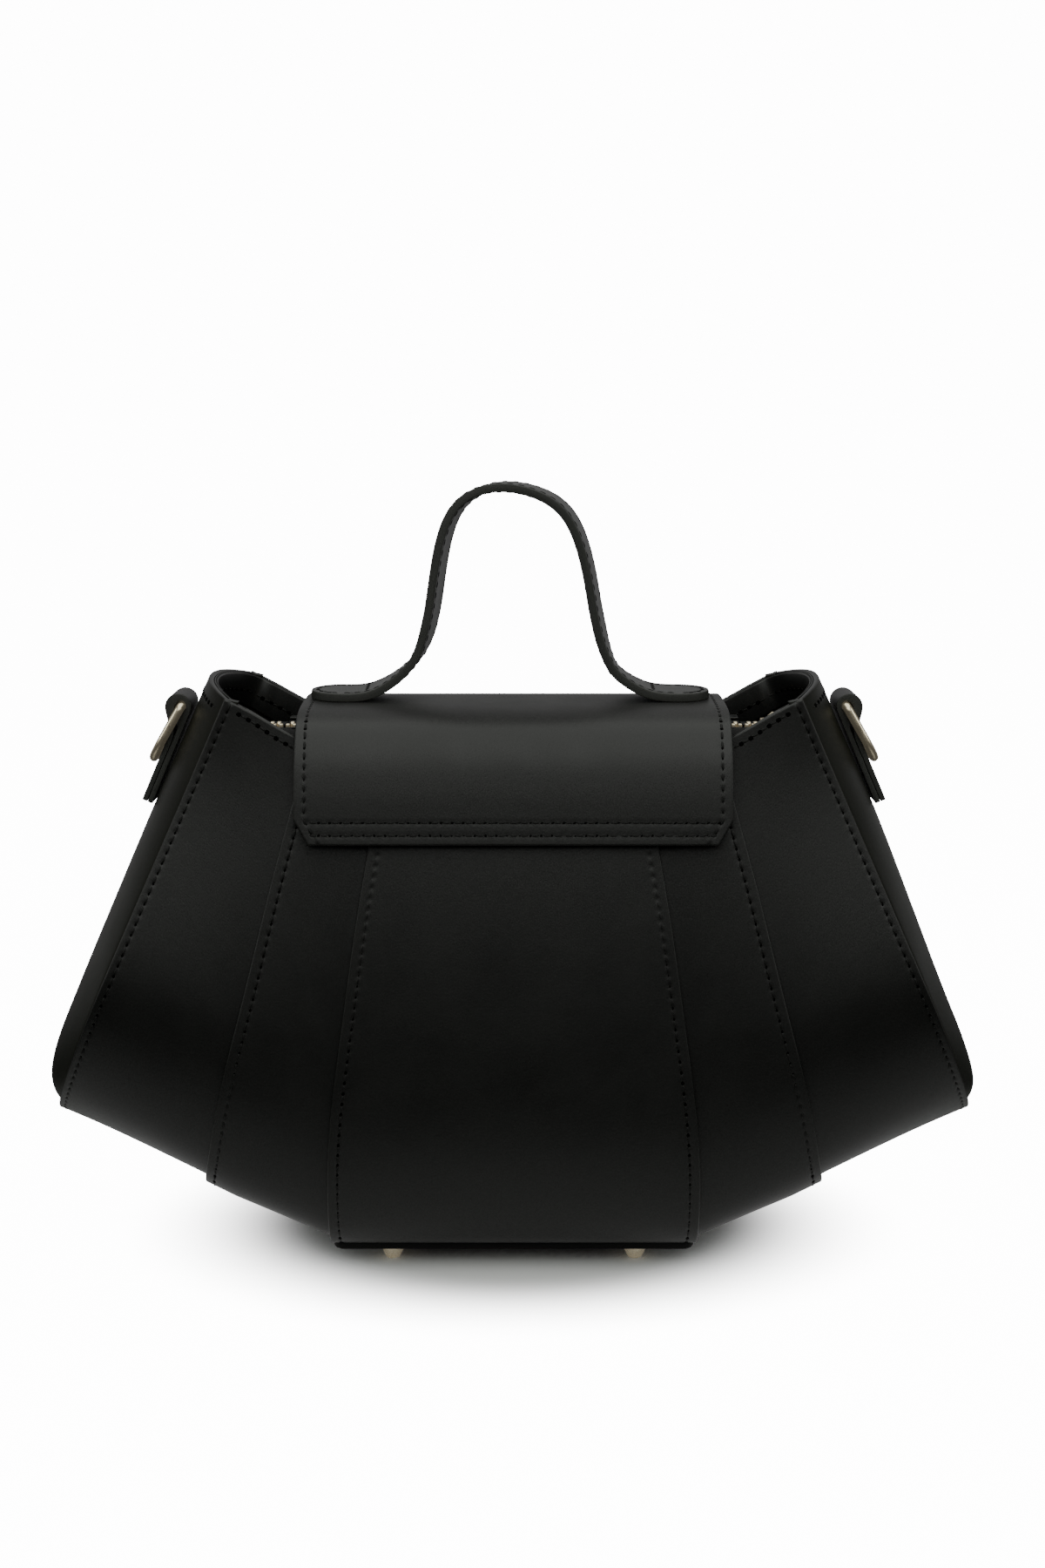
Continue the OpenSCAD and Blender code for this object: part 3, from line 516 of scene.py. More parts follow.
def leather(name, one, two, rough, grain=1.0, specular=0.5):
    m, t, b = start(name)
    uv = coords(t)
    soft, fine = noise(t, uv, PATCH, 4), noise(t, uv, GRAIN, 3, 0.6)
    pores = spread(t, cells(t, uv, PORE), 0, 1, 0.0, 0.55)
    mix = total(t, times(t, soft, 0.6), times(t, fine, 0.4))
    height = total(t, times(t, fine, 0.5), times(t, pores, 0.5))
    bump(t, b, total(t, height, times(t, noise(t, uv, CREASE, 2), 0.8)), 0.7*grain, 0.00006)
    put(t, b, {"Base Color": blend_colours(t, soft, one, two, 0.25, 0.75),
               "Roughness": spread(t, mix, rough[0], rough[1]), "Specular IOR Level": specular})
    return m


def metal(name, colour, rough, studio=0.0):
    """Metal. The faint glow stands in for the white studio that the real metal mirrors."""
    m, t, b = start(name)
    p = coords(t, "Object")
    n = noise(t, p, 900, 2)
    bump(t, b, n, 0.15, 0.00002)
    put(t, b, {"Base Color": blend_colours(t, n, [0.93*c for c in colour], colour), "Metallic": 1.0,
               "Roughness": spread(t, noise(t, p, 260, 3), rough*0.8, rough*1.3),
               "Emission Color": (*colour, 1), "Emission Strength": studio})
    return m


def woven(name, one, two, thread_pitch, rough=0.75, twill=False):
    m, t, b = start(name)
    uv = coords(t)
    k = 0.1*math.pi/(thread_pitch*MM)
    wx, wy = wave(t, uv, k, "X"), wave(t, uv, k, "DIAGONAL" if twill else "Y")
    weave = total(t, wx, wy, "MULTIPLY" if twill else "ADD")
    fuzz = noise(t, uv, 2400, 2)
    bump(t, b, total(t, weave, fuzz), 0.5, 0.00012)
    shade = total(t, times(t, weave, 0.4), times(t, fuzz, 0.4))
    put(t, b, {"Base Color": blend_colours(t, shade, one, two), "Specular IOR Level": 0.2,
               "Roughness": spread(t, fuzz, rough - 0.1, rough + 0.1)})
    return m


def plain(name, pattern, settings, depth, one, two, rough, specular=0.5):
    m, t, b = start(name)
    f = pattern(t, coords(t, "Object"), *settings)
    bump(t, b, f, 0.4, depth)
    put(t, b, {"Base Color": blend_colours(t, f, one, two), "Roughness": spread(t, f, *rough),
               "Specular IOR Level": specular})
    return m


DARK, PALE = (0.0032, 0.0033, 0.0028), (0.0052, 0.0053, 0.0045)
BLACK = leather("black_leather", DARK, PALE, (0.39, 0.48))
FLAP_LEATHER = leather("flap_leather", DARK, PALE, (0.45, 0.54), 1.2, 0.55)
SIDE = leather("side_leather", (0.0055, 0.0060, 0.0032), (0.0080, 0.0086, 0.0050), (0.38, 0.47), 1.0, 0.23)
EDGE = leather("edge_paint", (0.0050, 0.0052, 0.0048), (0.0080, 0.0082, 0.0076), (0.34, 0.46), 0.5)
# The sole's edge: black edge paint, made darker still as painted shade for the shadow that falls on it under
# the bag.
SOLE_EDGE_SHADED = leather("sole_edge_painted_shade", (0.0012, 0.0012, 0.0012), (0.0022, 0.0022, 0.0021), (0.6, 0.7), 0.5, 0.15)
RIM = leather("strap_edge", (0.028, 0.029, 0.026), (0.038, 0.039, 0.035), (0.5, 0.6), 0.5, 0.4)
STRAP = leather("strap_leather", (0.018, 0.019, 0.018), (0.028, 0.029, 0.027), (0.36, 0.46))
INNER = leather("inner_leather", (0.0032, 0.0032, 0.0030), (0.005, 0.005, 0.0046), (0.65, 0.75), 1.0, 0.2)
GOLD = metal("pale_gold", (0.93, 0.82, 0.60), 0.28, 0.055)
STEEL = metal("magnet_steel", (0.62, 0.62, 0.64), 0.3)
CLOTH = woven("lining_cloth", (0.018, 0.017, 0.016), (0.035, 0.033, 0.032), 0.5)
TAPE = woven("zip_cloth", (0.010, 0.010, 0.011), (0.022, 0.022, 0.024), 0.9, twill=True)
THREAD = plain("sewing_thread", wave, (900, "DIAGONAL", 1.5), 0.00008, (0.0030, 0.0030, 0.0028),
               (0.0060, 0.0060, 0.0056), (0.45, 0.6, 0, 1), 0.25)
BOARD = plain("stiffener_board", noise, (700, 4), 0.0001, (0.16, 0.14, 0.12), (0.27, 0.25, 0.21), (0.75, 0.9))
# Near-black discs at the stitch holes: painted shade of the holes, darker than the black thread that goes
# into them.
HOLE_SHADE = leather("stitch_hole_painted_shade", (0.0004, 0.0004, 0.0004), (0.0007, 0.0007, 0.0007), (0.8, 0.9), 0.3, 0.05)
LEATHER = [BLACK, EDGE]


# Body: strips, centre panels and boards

# Places of the mesh's columns about a row of stitches, and from a sewn edge inwards
NEAR_STITCH = [-2.6, -1.6, -1.0, -0.5, 0, 0.5, 1.0, 1.6]
EDGE_COLUMNS = [0, 1.1] + [INSET - d for d in NEAR_STITCH[::-1]]
STRIP_COLUMNS_IN = 7.5
RIM_STITCH_DROP = 3.9


def wing_grid(ks, share, mm):
    """Points and normals of the wing's surface. Columns are a share of its width plus millimetres."""
    k, share, mm = np.broadcast_arrays(np.asarray(ks, float)[:, None], share, mm)
    s = share + mm/wing_len(k*(1 - dip(share)))
    u = k*(1 - dip(s))
    n = wing_out(s, u)
    return wing(s, u) + slack(s, u)[..., None]*n, n, s, u


def strip_columns(lo_share, lo_mm, hi_share, count, inset):
    """Columns across a strip whose sewn edge is at hi_share: dense where the stitches pull the leather in."""
    share, mm = [lo_share]*2, [lo_mm, lo_mm + 1]
    for k in np.linspace(0, 1, count + 2)[1:-1]:
        share.append(lo_share + (hi_share - lo_share)*k)
        mm.append(lo_mm*(1 - k) - STRIP_COLUMNS_IN*k)
    near = [d - inset for d in NEAR_STITCH] + [-0.8, 0]
    return share + [hi_share]*len(near), mm + near


def middle_lift(s):
    return STRIP_LIFT*np.clip(s/LIFT_END, 0, 1)


def rim_line(s0, s1, mm0, mm1, lift, side):
    """Sewing line just below the rim, with normals, from one share of the wing to another."""
    s = np.linspace(s0, s1, 60)
    u = side*(1 - dip(s))
    s = s + np.linspace(mm0, mm1, len(s))/wing_len(u)
    step = np.linalg.norm(wing(s, u*0.99) - wing(s, u), axis=-1)/0.01
    u = u*(1 - RIM_STITCH_DROP/step)
    nrm = wing_out(s, u)
    return wing(s, u) + (slack(s, u) + lift(s) + T)[..., None]*nrm, nrm


def strip(name, side, flip, start_at, sewn, inset, count, lift, rim_from, rim_in):
    """One strip and its sewing: it starts at a share and millimetres, and is sewn down at the share sewn."""
    ks, at = even_rows(lambda k: wing_grid(k, [sewn], [-inset])[0][:, 0], -1, 1)
    P, N, S, U = wing_grid(ks, *strip_columns(*start_at, sewn, count, inset))
    pull = dent((S - sewn)*wing_len(U) + inset, at[:, None])
    o = sheet(f"{side}_{name}_leather", P, N, lift(S), lift(S) + T + pull, LEATHER, mirror=flip)
    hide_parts(f"{side}_{name}_strip")
    p, n, s, _ = wing_grid(np.interp(np.linspace(0, at[-1], 1200), at, ks), [sewn], [-inset])
    top = p[:, 0] + (lift(s[:, 0]) + T)[:, None]*n[:, 0]
    rows = [(frames_on(top, n[:, 0], at=holes(at[-1])), SINK)]
    for face in SIGNS:
        rows.append((frames_on(*rim_line(*rim_from, *rim_in, lift, face)), 0))
    threads(f"{side}_{name}_stitches", rows, flip)


for side, flip in SIDES:
    strip("middle", side, flip, (0, -OVERLAP), STRIP_SHARE, INSET, 8, middle_lift,
          (0.0, STRIP_SHARE), (3.0, -INSET - 2.5))
    strip("outer", side, flip, (STRIP_SHARE - OVER, 0), 1, INSET_C, 10, lambda s: 0*s,
          (STRIP_SHARE, 1), (2.2, -INSET_C - 2.2))


def side_line(k):
    """Sewing line of a centre panel on its right, on top of the leather."""
    return seam_a(k) - INSET*RIGHT + (STRIP_LIFT + T)*middle_out(np.ones_like(k), k)


def columns_across(half, inner, ks):
    """Columns across a sheet that is sewn at both edges, dense along the stitches."""
    near = [half - m for m in EDGE_COLUMNS]
    return np.stack([-x for x in near] + [inner*k for k in ks] + near[::-1], 1)


# The shares where a panel turns under the base and where its board begins and ends, and the board's two faces
PANEL_END, BOARD_ENDS, BOARD_FACES = 0.2, (0.955, 0.345), (0.25, 2.0)
BOARD_SHARE = 1 - (OVERLAP + 3*GAP)/(BASE_W*SEAM_W[0])
PANEL_BOW = 0.5
for name, side in HALVES:
    ks, at = even_rows(side_line, side*(1 - dip(0)), side*PANEL_END)
    half = seam_a(ks)[:, 0]
    X = columns_across(half, half - 8.5, np.linspace(-1, 1, 25)[1:-1])
    K, U = X/half[:, None], ks[:, None] + 0*X
    N = middle_out(K, U)
    bow = PANEL_BOW*(1 - K**2)*np.sin(np.pi*np.clip((1 - np.abs(U))/0.8, 0, 1))
    P = middle(K, U) + (slack(0*K, U)*(0.6 + 0.4*np.cos(3*K)) + bow)[..., None]*N
    top = STRIP_LIFT + T + dent(half[:, None] - np.abs(X) - INSET, at[:, None])
    o = sheet(f"centre_{name}_leather", P, N, STRIP_LIFT, top, LEATHER)
    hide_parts(f"centre_panel_{name}")
    rows = []
    for sx in SIGNS:
        k = np.interp(np.linspace(0, at[-1], 900), at, ks)
        out = middle_out(np.ones_like(k), k)
        p = (side_line(k) + slack(0*k, k)[:, None]*out)*np.array([sx, 1, 1])
        rows.append((frames_on(p, out, at=holes(at[-1])), SINK))
    threads(f"centre_{name}_stitches", rows)
    U, K = grid(side*np.linspace(*BOARD_ENDS, 40), np.linspace(-BOARD_SHARE, BOARD_SHARE, 15))
    o = sheet(f"{name}_board", middle(K, U), middle_out(K, U), *BOARD_FACES, [BOARD, BOARD], r=0.3)
    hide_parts(f"{name}_stiffener")


# Gussets, lining and rim

def end_width(t):
    return np.abs(seam_c(np.asarray(t, float) - 1)[..., 1])


def corner(u, off_n, off_g):
    one = np.ones_like(u)
    return wing(one, u) - off_n*wing_out(one, u) - np.asarray(off_g)[..., None]*END_OUT


def end_face(t, w, off_n, off_g, flat=0.0):
    """Point on an end: t goes from its top edge to its tip, w across, and flat takes bulge away below."""
    t, w = np.broadcast_arrays(np.asarray(t, float), np.asarray(w, float))
    off_g = np.broadcast_to(off_g, t.shape)
    a, b = corner(t - 1, off_n, off_g), corner(1 - t, off_n, off_g)
    rise = BULGE*np.sin(np.pi/2*np.minimum(1, end_width(t)/(0.86*BELLY)))*(1 - np.abs(w)**2.2)
    rise = rise*(1 - flat*ease(0.15, 0.5, t)*ease(1, 0.6, t))
    return a + (b - a)*(w[..., None] + 1)/2 + rise[..., None]*END_OUT


def flange(t, side, off_n):
    s = np.full_like(t, 1 - FLANGE)
    u = side*(1 - t)
    return wing(s, u) - off_n*wing_out(s, u)


def end_normals(P):
    """Normals of a grid of points, on the side that looks away from the bag."""
    N = unit(np.cross(np.gradient(P, axis=0), np.gradient(P, axis=1)))
    return N*np.sign(np.sum(N[20, 20]*END_OUT))


# The share of its half width where the face turns, and how much flatter the right side is below
FACE_SHARE, RIGHT_FLAT = 0.965, 0.22


def gusset_grid(off_n, off_g, flat):
    """The whole gusset: its flange at the back, its face and its flange at the front."""
    t = np.concatenate([np.linspace(0, 0.9, 90), np.linspace(0.9, 0.997, 24)[1:]])
    ws = np.concatenate([np.linspace(-FACE_SHARE, -0.7, 9), np.linspace(-0.7, 0.7, 21)[1:-1],
                         np.linspace(0.7, FACE_SHARE, 9)])
    a = np.linspace(0, 1, 6)[None, :, None]
    rows = []
    for side in SIGNS:
        f, k = flange(t, side, off_n), corner(side*(1 - t), off_n, 0*t + off_g)
        before, near = k + 0.25*(f - k), end_face(t, side*FACE_SHARE, off_n, off_g, flat)
        bend = before[:, None]*(1 - a)**2 + 2*a*(1 - a)*k[:, None] + a**2*near[:, None]
        block = np.concatenate([f[:, None], (f + 0.4*(before - f))[:, None], bend[:, :-1]], 1)
        rows.append(block if side < 0 else block[:, ::-1])
    return np.concatenate([rows[0], end_face(t[:, None], ws[None, :], off_n, off_g, flat), rows[1]], 1)


for side, flip in SIDES:
    P = gusset_grid(GAP, 0, 0.0 if flip else RIGHT_FLAT)
    o = sheet(f"{side}_gusset_leather", P, end_normals(P), -T, 0, [SIDE, EDGE], mirror=flip)
    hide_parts(f"{side}_gusset")
    w = np.linspace(-0.93, 0.93, 120)
    p, q = end_face(0*w + 0.021, w, GAP, 0), end_face(0*w + 0.03, w, GAP, 0)
    nrm = unit(np.cross(unit(np.gradient(p, axis=0)), unit(p - q)))
    nrm *= np.sign(np.sum(nrm*END_OUT, -1, keepdims=True))
    threads(f"{side}_gusset_stitches", [(frames_on(p, nrm), 0)], flip)


BOARD_TOP = BODY_LOW - T + 2.0
CLOTH_T, CLOTH_EDGE = 0.6, 0.15


def flange_lift(s):
    return (GAP + T)*ease(0.55, 1 - 1.2*FLANGE, s)


def board_lift(u):
    return (BOARD_TOP + 0.8 + 4*GAP - BODY_LOW)*ease(0.36, 0.25, np.abs(u))


def lining_grid():
    """The cloth behind both wings and across the base, a little crumpled."""
    ks = [np.linspace(-1, -0.9, 12), np.linspace(-0.9, 0.9, 120)[1:-1], np.linspace(0.9, 1, 12)]
    K, S = grid(0.975*np.concatenate(ks), np.concatenate([[0.0, 0.12], np.linspace(0.2, 0.95, 22)]))
    U = K*(1 - dip(S))
    out = wing_out(S, U)
    crumple = 0.25*np.sin(31*S + 11*U)*np.sin(17*U + 5*S) + 0.25
    off = GAP + 0.05 + flange_lift(S) + board_lift(U) + crumple
    right = wing(S, U) + (slack(S, U) - off)[..., None]*out
    xs = np.linspace(-1, 1, 21)[1:-1]
    across = right[:, :1]*xyz(xs, 1, 1)
    P = np.concatenate([(right*FLIP_X)[:, ::-1], across, right], 1)
    return P, np.concatenate([(out*FLIP_X)[:, ::-1], np.repeat(out[:, :1]*(1 - RIGHT), len(xs), 1), out], 1)


o = sheet("lining_cloth_piece", *lining_grid(), -CLOTH_T, 0, [CLOTH, CLOTH], r=CLOTH_EDGE)
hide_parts("lining")
for side, flip in SIDES:
    t, w = grid(np.linspace(0.022, 0.97, 90), np.linspace(-1, 1, 31))
    P = end_face(t, w, T + 2*GAP, T + GAP) + (0.2*np.sin(19*t + 7*w) - 0.2)[..., None]*END_OUT
    N = end_normals(P)
    o = sheet(f"{side}_end_cloth", P, N, -CLOTH_T, 0, [CLOTH, CLOTH], r=CLOTH_EDGE, mirror=flip)
    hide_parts(f"{side}_lining_end")


def facing_wing(s, side, q0, q1):
    u = side*(1 - dip(s) - q0*FACING_SHARE)
    off = 0.1 + 1.5*q0 + flange_lift(s) + q1*FACING_T
    return wing(s, u) + (slack(s, u) - off)[..., None]*wing_out(s, u)


def facing_end(w, q0, q1):
    return end_face(0*w + q0*FACING_SHARE, w, T + 2*GAP, T + 0.1 + 1.5*q0 + q1*FACING_T)


def ring_curve(q0, q1):
    """The rim band's line for one of its four corners, once round, evenly smoothed at the corners."""
    s, w = np.linspace(0, 0.925, 16), np.linspace(-0.8, 0.8, 11)
    r = np.concatenate([facing_wing(s, -1, q0, q1), facing_end(w, q0, q1), facing_wing(s[::-1], 1, q0, q1)])
    full = np.concatenate([r, (r*FLIP_X)[::-1]])
    c = Curve(np.concatenate([full[-6:], full, full[:6]]))
    return c(np.linspace(6, 6 + len(full), 430, endpoint=False))


# The band's section goes round four rounded corners, as shares of its height and its thickness.
BAND_ROUND, BAND_TALL = 0.28, 8
lines = {q: ring_curve(*q) for q in product((0, 1), repeat=2)}
loops = []
for a, b, turn in ((0, 0, 180), (1, 0, 270), (1, 1, 0), (0, 1, 90)):
    for d in np.radians(np.linspace(turn, turn + 90, 4)):
        ra = BAND_ROUND/BAND_TALL
        ka = (1 - ra if a else ra) + ra*math.cos(d)
        kb = (1 - BAND_ROUND if b else BAND_ROUND) + BAND_ROUND*math.sin(d)
        loops.append((1 - ka)*(1 - kb)*lines[(0, 0)] + ka*(1 - kb)*lines[(1, 0)]
                     + (1 - ka)*kb*lines[(0, 1)] + ka*kb*lines[(1, 1)])
L = np.stack(loops, 1)
nr, n = L.shape[:2]
index = np.tile([0 if j in (7, 15) else 1 for j in range(n)], nr)
uv = xyz(distance(L[:, 0])[:, None], np.arange(n)*1.0).reshape(-1, 2)
o = make("rim_band", L.reshape(-1, 3), ring_faces(nr, n, True), [INNER, EDGE], index=index, uv=uv)
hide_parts("rim_facing")
inner, inward = 0.45*lines[(0, 1)] + 0.55*lines[(1, 1)], unit(lines[(0, 1)] - lines[(0, 0)])
inner, inward = np.concatenate([inner, inner[:1]]), np.concatenate([inward, inward[:1]])
threads("rim_band_stitches", [(frames_on(inner, inward, trim=0), 0)])


# Flap

PANEL = seam_a(np.arange(8)/10 - 1)[::-1]
FLAP_FULL = FLAP_T + FLAP_LINING_T
FLAP_CLEAR = 2.1


def flap_y(z):
    """How far out the flap lies in front of the centre panel at a height."""
    return float(np.interp(z, PANEL[:, 2], -PANEL[:, 1])) + STRIP_LIFT + T + GAP + FLAP_CLEAR + FLAP_FULL


# The flap's line over the top, as depth and height: tail, back shoulder, crown, front shoulder and front
CROWN_TOP = RIM_H + 8.45
TAIL = [(-58.6, TAIL_LOW), (-57.4, (TAIL_LOW + HINGE_H)/2), (-56.2, HINGE_H)]
BACK = [(-54.8, 188.0), (-52.4, 196.5), (-48.6, 203.5), (-43.0, 208.6), (-32.0, 211.5), (-16.0, 212.3)]
FRONT = [(12.0, 211.85), (22.0, 210.4), (33.0, 208.7), (42.0, 206.4), (47.7, 203.1), (51.5, 197.5),
         (54.2, 189.5)]
FALL = [(56.3, HINGE_H)] + [(flap_y(z), z) for z in ((FRONT_LOW + HINGE_H)/2, FRONT_LOW)]
FLAP = Curve([(0, y, z) for y, z in TAIL + BACK + [(0, CROWN_TOP)] + FRONT + FALL])
# The flap's cut corners, its double rows of stitches, and the wave of its front edge
CORNER_W, CORNER_L, ROWS = 5.2, 9, (3.6, 8.3)
LIP, LIP_L = 0.18, 60


def flap_grid(ks, X):
    d = unit(FLAP(ks + 0.02) - FLAP(ks - 0.02))
    nrm = xyz(0, -d[:, 2], d[:, 1])
    P = FLAP(ks)[:, None] + X[..., None]*RIGHT
    return P, np.broadcast_to(nrm[:, None], P.shape)


def flap_layer(rows, X):
    """Points and normals of a layer of the flap, with a slight wave near its front edge."""
    P, N = flap_grid(fks[rows], X[rows])
    lip = LIP*np.sin(X[rows]/23 + 0.5)*ease(LIP_L, 0, length - fat[rows])[:, None]
    return P + lip[..., None]*N, N


def half_width(at):
    """Half the flap's width: its corners are cut at both ends."""
    end = np.minimum(at, length - at)
    return FLAP_W/2 - CORNER_W*np.clip(1 - end/CORNER_L, 0, 1)


fks, fat = even_rows(FLAP, 0, len(FLAP.p) - 1)
length = fat[-1]
hw = half_width(fat)
X = columns_across(hw, hw - 7.4, np.linspace(-1, 1, 111))
end = np.minimum(fat, length - fat)[:, None]
pull = dent(hw[:, None] - np.abs(X) - INSET, fat[:, None])
for r in ROWS:
    pull = np.minimum(pull, np.where(np.abs(X) < hw[:, None] - INSET + 0.6, dent(end - r, X - PITCH/2), 0))
flap = sheet("flap_leather", *flap_layer(slice(None), X), -FLAP_T, pull, [FLAP_LEATHER, EDGE], body=None)
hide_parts("flap_tail", "flap_lid")
X = np.stack([0.2 - hw, 1.4 - hw] + [(hw - 3)*k for k in np.linspace(-1, 1, 41)] + [hw - 1.4, hw - 0.2], 1)
few = np.append(np.arange(0, len(fks) - 1, 3), len(fks) - 1)
flap_in = sheet("flap_lining_leather", *flap_layer(few, X), -FLAP_FULL, -FLAP_T - 0.06, [INNER, EDGE],
                r=0.4, body=None)
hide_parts("flap_lining")
rows = []
for sx in SIGNS:
    P, N = flap_grid(fks, (sx*(hw - INSET))[:, None])
    rows.append((frames_on(P[:, 0], N[:, 0], at=holes(length)[1:-1]), SINK))
for r in ROWS:
    for a in (r, length - r):
        n = int((half_width(a) - INSET)/PITCH)
        x = PITCH*np.arange(-n, n + 1)
        P, N = flap_grid(np.array([np.interp(a, fat, fks)]), x[None, :])
        rows.append((np.stack([P[0], np.tile(RIGHT, (len(x), 1)), np.cross(N[0], RIGHT), N[0]], 1), SINK))
flap_thread = threads("flap_stitches", rows, body=None)
# A point on the flap's sewn line and a length over which the leather would bend about it; nothing below uses
# them.
FOLD, BEND = np.array([0, -56.4, HINGE_H]), 7*unit([0, 0.6, 1.0])
for o in (flap, flap_in, flap_thread):
    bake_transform(o)


# Handle

# Shares of half the handle's length and of its rise
HX = [-1, -0.84, -0.7, -0.565, -0.467, -0.408, -0.376, -0.342, -0.257, -0.066,
      0.158, 0.289, 0.355, 0.388, 0.421, 0.479, 0.559, 0.684, 0.816, 1]
HZ = [0, 0, 0.01, 0.087, 0.203, 0.364, 0.558, 0.745, 0.92, 1,
      0.953, 0.835, 0.661, 0.494, 0.326, 0.158, 0.08, 0.016, 0, 0]
HANDLE_LOW = CROWN_TOP + 0.2 + 2*HANDLE_T
# The handle stands a little behind the middle and its ends lean back, as the photo shows.
HANDLE_Y, HANDLE_LEAN = -5.0, 0.03
# The stitches' inset, the cross seam's distance from the ends, and how far the line is softened
H_INSET, H_CROSS, H_SOFT, H_REACH = 2.6, 21.5, 4.2, 12
R = HANDLE_W/2


def handle_line():
    """The handle's middle line, softened and with the photo's small unevenness, and its share of the rise."""
    rough = Curve([(HANDLE_L*x, HANDLE_Y, HANDLE_LOW - HANDLE_T + HANDLE_RISE*z) for x, z in zip(HX, HZ)])
    p = rough(even_rows(rough, 0, len(HX) - 1)[0])
    soft = np.exp(-(np.arange(-H_REACH, H_REACH + 1)*STEP/H_SOFT)**2)
    before, after = 2*p[0] - p[H_REACH:0:-1], 2*p[-1] - p[-2:-H_REACH - 2:-1]
    padded = np.concatenate([before, p, after])
    p = np.stack([np.convolve(padded[:, c], soft/soft.sum(), "valid") for c in range(3)], -1)
    share = (p[:, 2] - HANDLE_LOW + HANDLE_T)/HANDLE_RISE
    p[:, 0] *= 1 + 0.022*ease(0.05, 0.4, share)
    p[:, 0] -= 1.4*(1 - ease(0, 0.2, share))
    p[:, 2] += 1.2*ease(0.6, 1, share)
    return p, share


hp, share = handle_line()
hat = distance(hp)
htan = unit(np.gradient(hp, axis=0))
turn = np.radians(HANDLE_TWIST)*ease(0, 0.35, share)
hacross = unit(xyz(np.sin(turn), np.cos(turn), HANDLE_LEAN*(1 - ease(0, 0.12, share))))
hnorm = unit(np.cross(htan, hacross))
hnorm *= np.sign(hnorm[:, 2:]*htan[:, :1] - hnorm[:, :1]*htan[:, 2:])
hend = np.minimum(hat, hat[-1] - hat)
hhalf = np.where(hend < R, np.sqrt(np.maximum(R*R - (R - hend)**2, 2.4**2)), R)
near = np.array([0, 0.9] + [H_INSET - d for d in (1.2, 0.6, 0, -0.6, -1.2)])
part = np.minimum(1, hhalf/6)[:, None]
W = np.concatenate([near*part - hhalf[:, None], (hhalf[:, None] - 5*part)*np.linspace(-1, 1, 5),
                    (hhalf[:, None] - near*part)[:, ::-1]], 1)
P = hp[:, None] + W[..., None]*hacross[:, None]
N = np.repeat(hnorm[:, None], W.shape[1], 1)
pull = dent(hhalf[:, None] - np.abs(W) - H_INSET, hat[:, None])*ease(R, R + 3, hend)[:, None]
o = sheet("handle_strap", P, N, -HANDLE_T - pull, HANDLE_T + pull, [STRAP, RIM], body="lid", r=0.4)
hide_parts("handle_upper_layer", "handle_under_layer")
rows = []
at = holes(hat[-1])
at = at[(at > R) & (at < hat[-1] - R)]
for sx in SIGNS:
    for sz in (1, -1):
        line = hp + sx*(hhalf - H_INSET)[:, None]*hacross + sz*HANDLE_T*hnorm
        fr = frames_on(line, sz*hnorm, at=np.interp(at, hat, distance(line)))
        rows.append((fr if sz > 0 else fr[fr[:, 0, 2] > HANDLE_LOW + 1.5], SINK))
for sx, first, cross_at in ((-1, 0, H_CROSS), (1, -1, hat[-1] - H_CROSS)):
    a = np.linspace(-np.pi/2, np.pi/2, 60)
    round_end = (R - H_INSET)*xyz(sx*np.cos(a), np.sin(a), HANDLE_LEAN*np.sin(a))
    arc = np.array([hp[first, 0] - sx*R, HANDLE_Y, HANDLE_LOW]) + round_end
    rows.append((frames_on(arc, UP, trim=1.4), 0))
    i = int(round(float(np.interp(cross_at, hat, np.arange(len(hat))))))
    y = np.linspace(H_INSET + 1 - R, R - H_INSET - 1, 30)[:, None]
    rows.append((frames_on(hp[i] + y*hacross[i] + HANDLE_T*hnorm[i], hnorm[i], trim=1.2), 0))
threads("handle_stitches", rows, body="lid", width=0.8, height=0.75)


# Ring tabs and rings

def on_end(o, y, up):
    """Point at a distance out from the end plane, across it, and up along it from its top edge."""
    c, s = math.cos(END_TILT), math.sin(END_TILT)
    return xyz(TOP_W + c*o - s*up, y, EAR_H + s*o + c*up)


TAB_IN = BULGE + GAP
# The ring turns about the middle of the CAD wire, which is a little thinner.
CAD_WIRE_R = 1.5
BAR_OUT = TAB_IN + TAB_T + GAP + CAD_WIRE_R
TAB_FACE = TAB_IN + 1.5*TAB_T + 0.1
TAB_STITCH_Y, TAB_STITCH_LOW, TAB_STITCH_TOP = 7.2, 2.5, 12
# How near the padding comes to the wire, and how thick it is at most
PAD_CLEAR, PAD_T = 0.35, 2.7


def tab_path():
    """The tab's middle line, as distance out and height: inner layer, loop round the ring, outer layer."""
    inner = TAB_IN + TAB_T/2
    loop_r = WIRE_R + GAP + TAB_T/2 + 0.6
    line = [(inner, -TAB_DROP - TAB_L*k) for k in (1, 0.66, 0.33)] + [(inner, -TAB_DROP - 4)]
    line += [(BAR_OUT + 1.1 + 1.14*loop_r*math.cos(x), -TAB_DROP - 0.8 + 1.16*loop_r*math.sin(x))
             for x in np.radians(np.linspace(165, -34, 40))]
    line += [(TAB_FACE + 1.6, -TAB_DROP - 8.0), (TAB_FACE + 0.2, -TAB_DROP - 11.5)]
    line = np.array(line + [(TAB_FACE, -TAB_DROP - d) for d in (14, 19, 24, 30, TAB_L)])
    d = distance(line)
    at = np.linspace(0, d[-1], 150)
    path = xyz(np.interp(at, d, line[:, 0]), np.interp(at, d, line[:, 1]))
    for _ in range(6):
        path[1:-1] = 0.25*path[:-2] + 0.5*path[1:-1] + 0.25*path[2:]
    return path


path = tab_path()
tan = unit(np.gradient(path, axis=0))
ys = np.array([-10, -9.2, -8, -7.2, -6.4, -5, -2.5, 0, 2.5, 5, 6.4, 7.2, 8, 9.2, 10])*TAB_W/20
P = on_end(path[:, None, 0], ys, path[:, None, 1])
N = on_end(path[:, None, 0] - tan[:, None, 1], ys, path[:, None, 1] + tan[:, None, 0]) - P
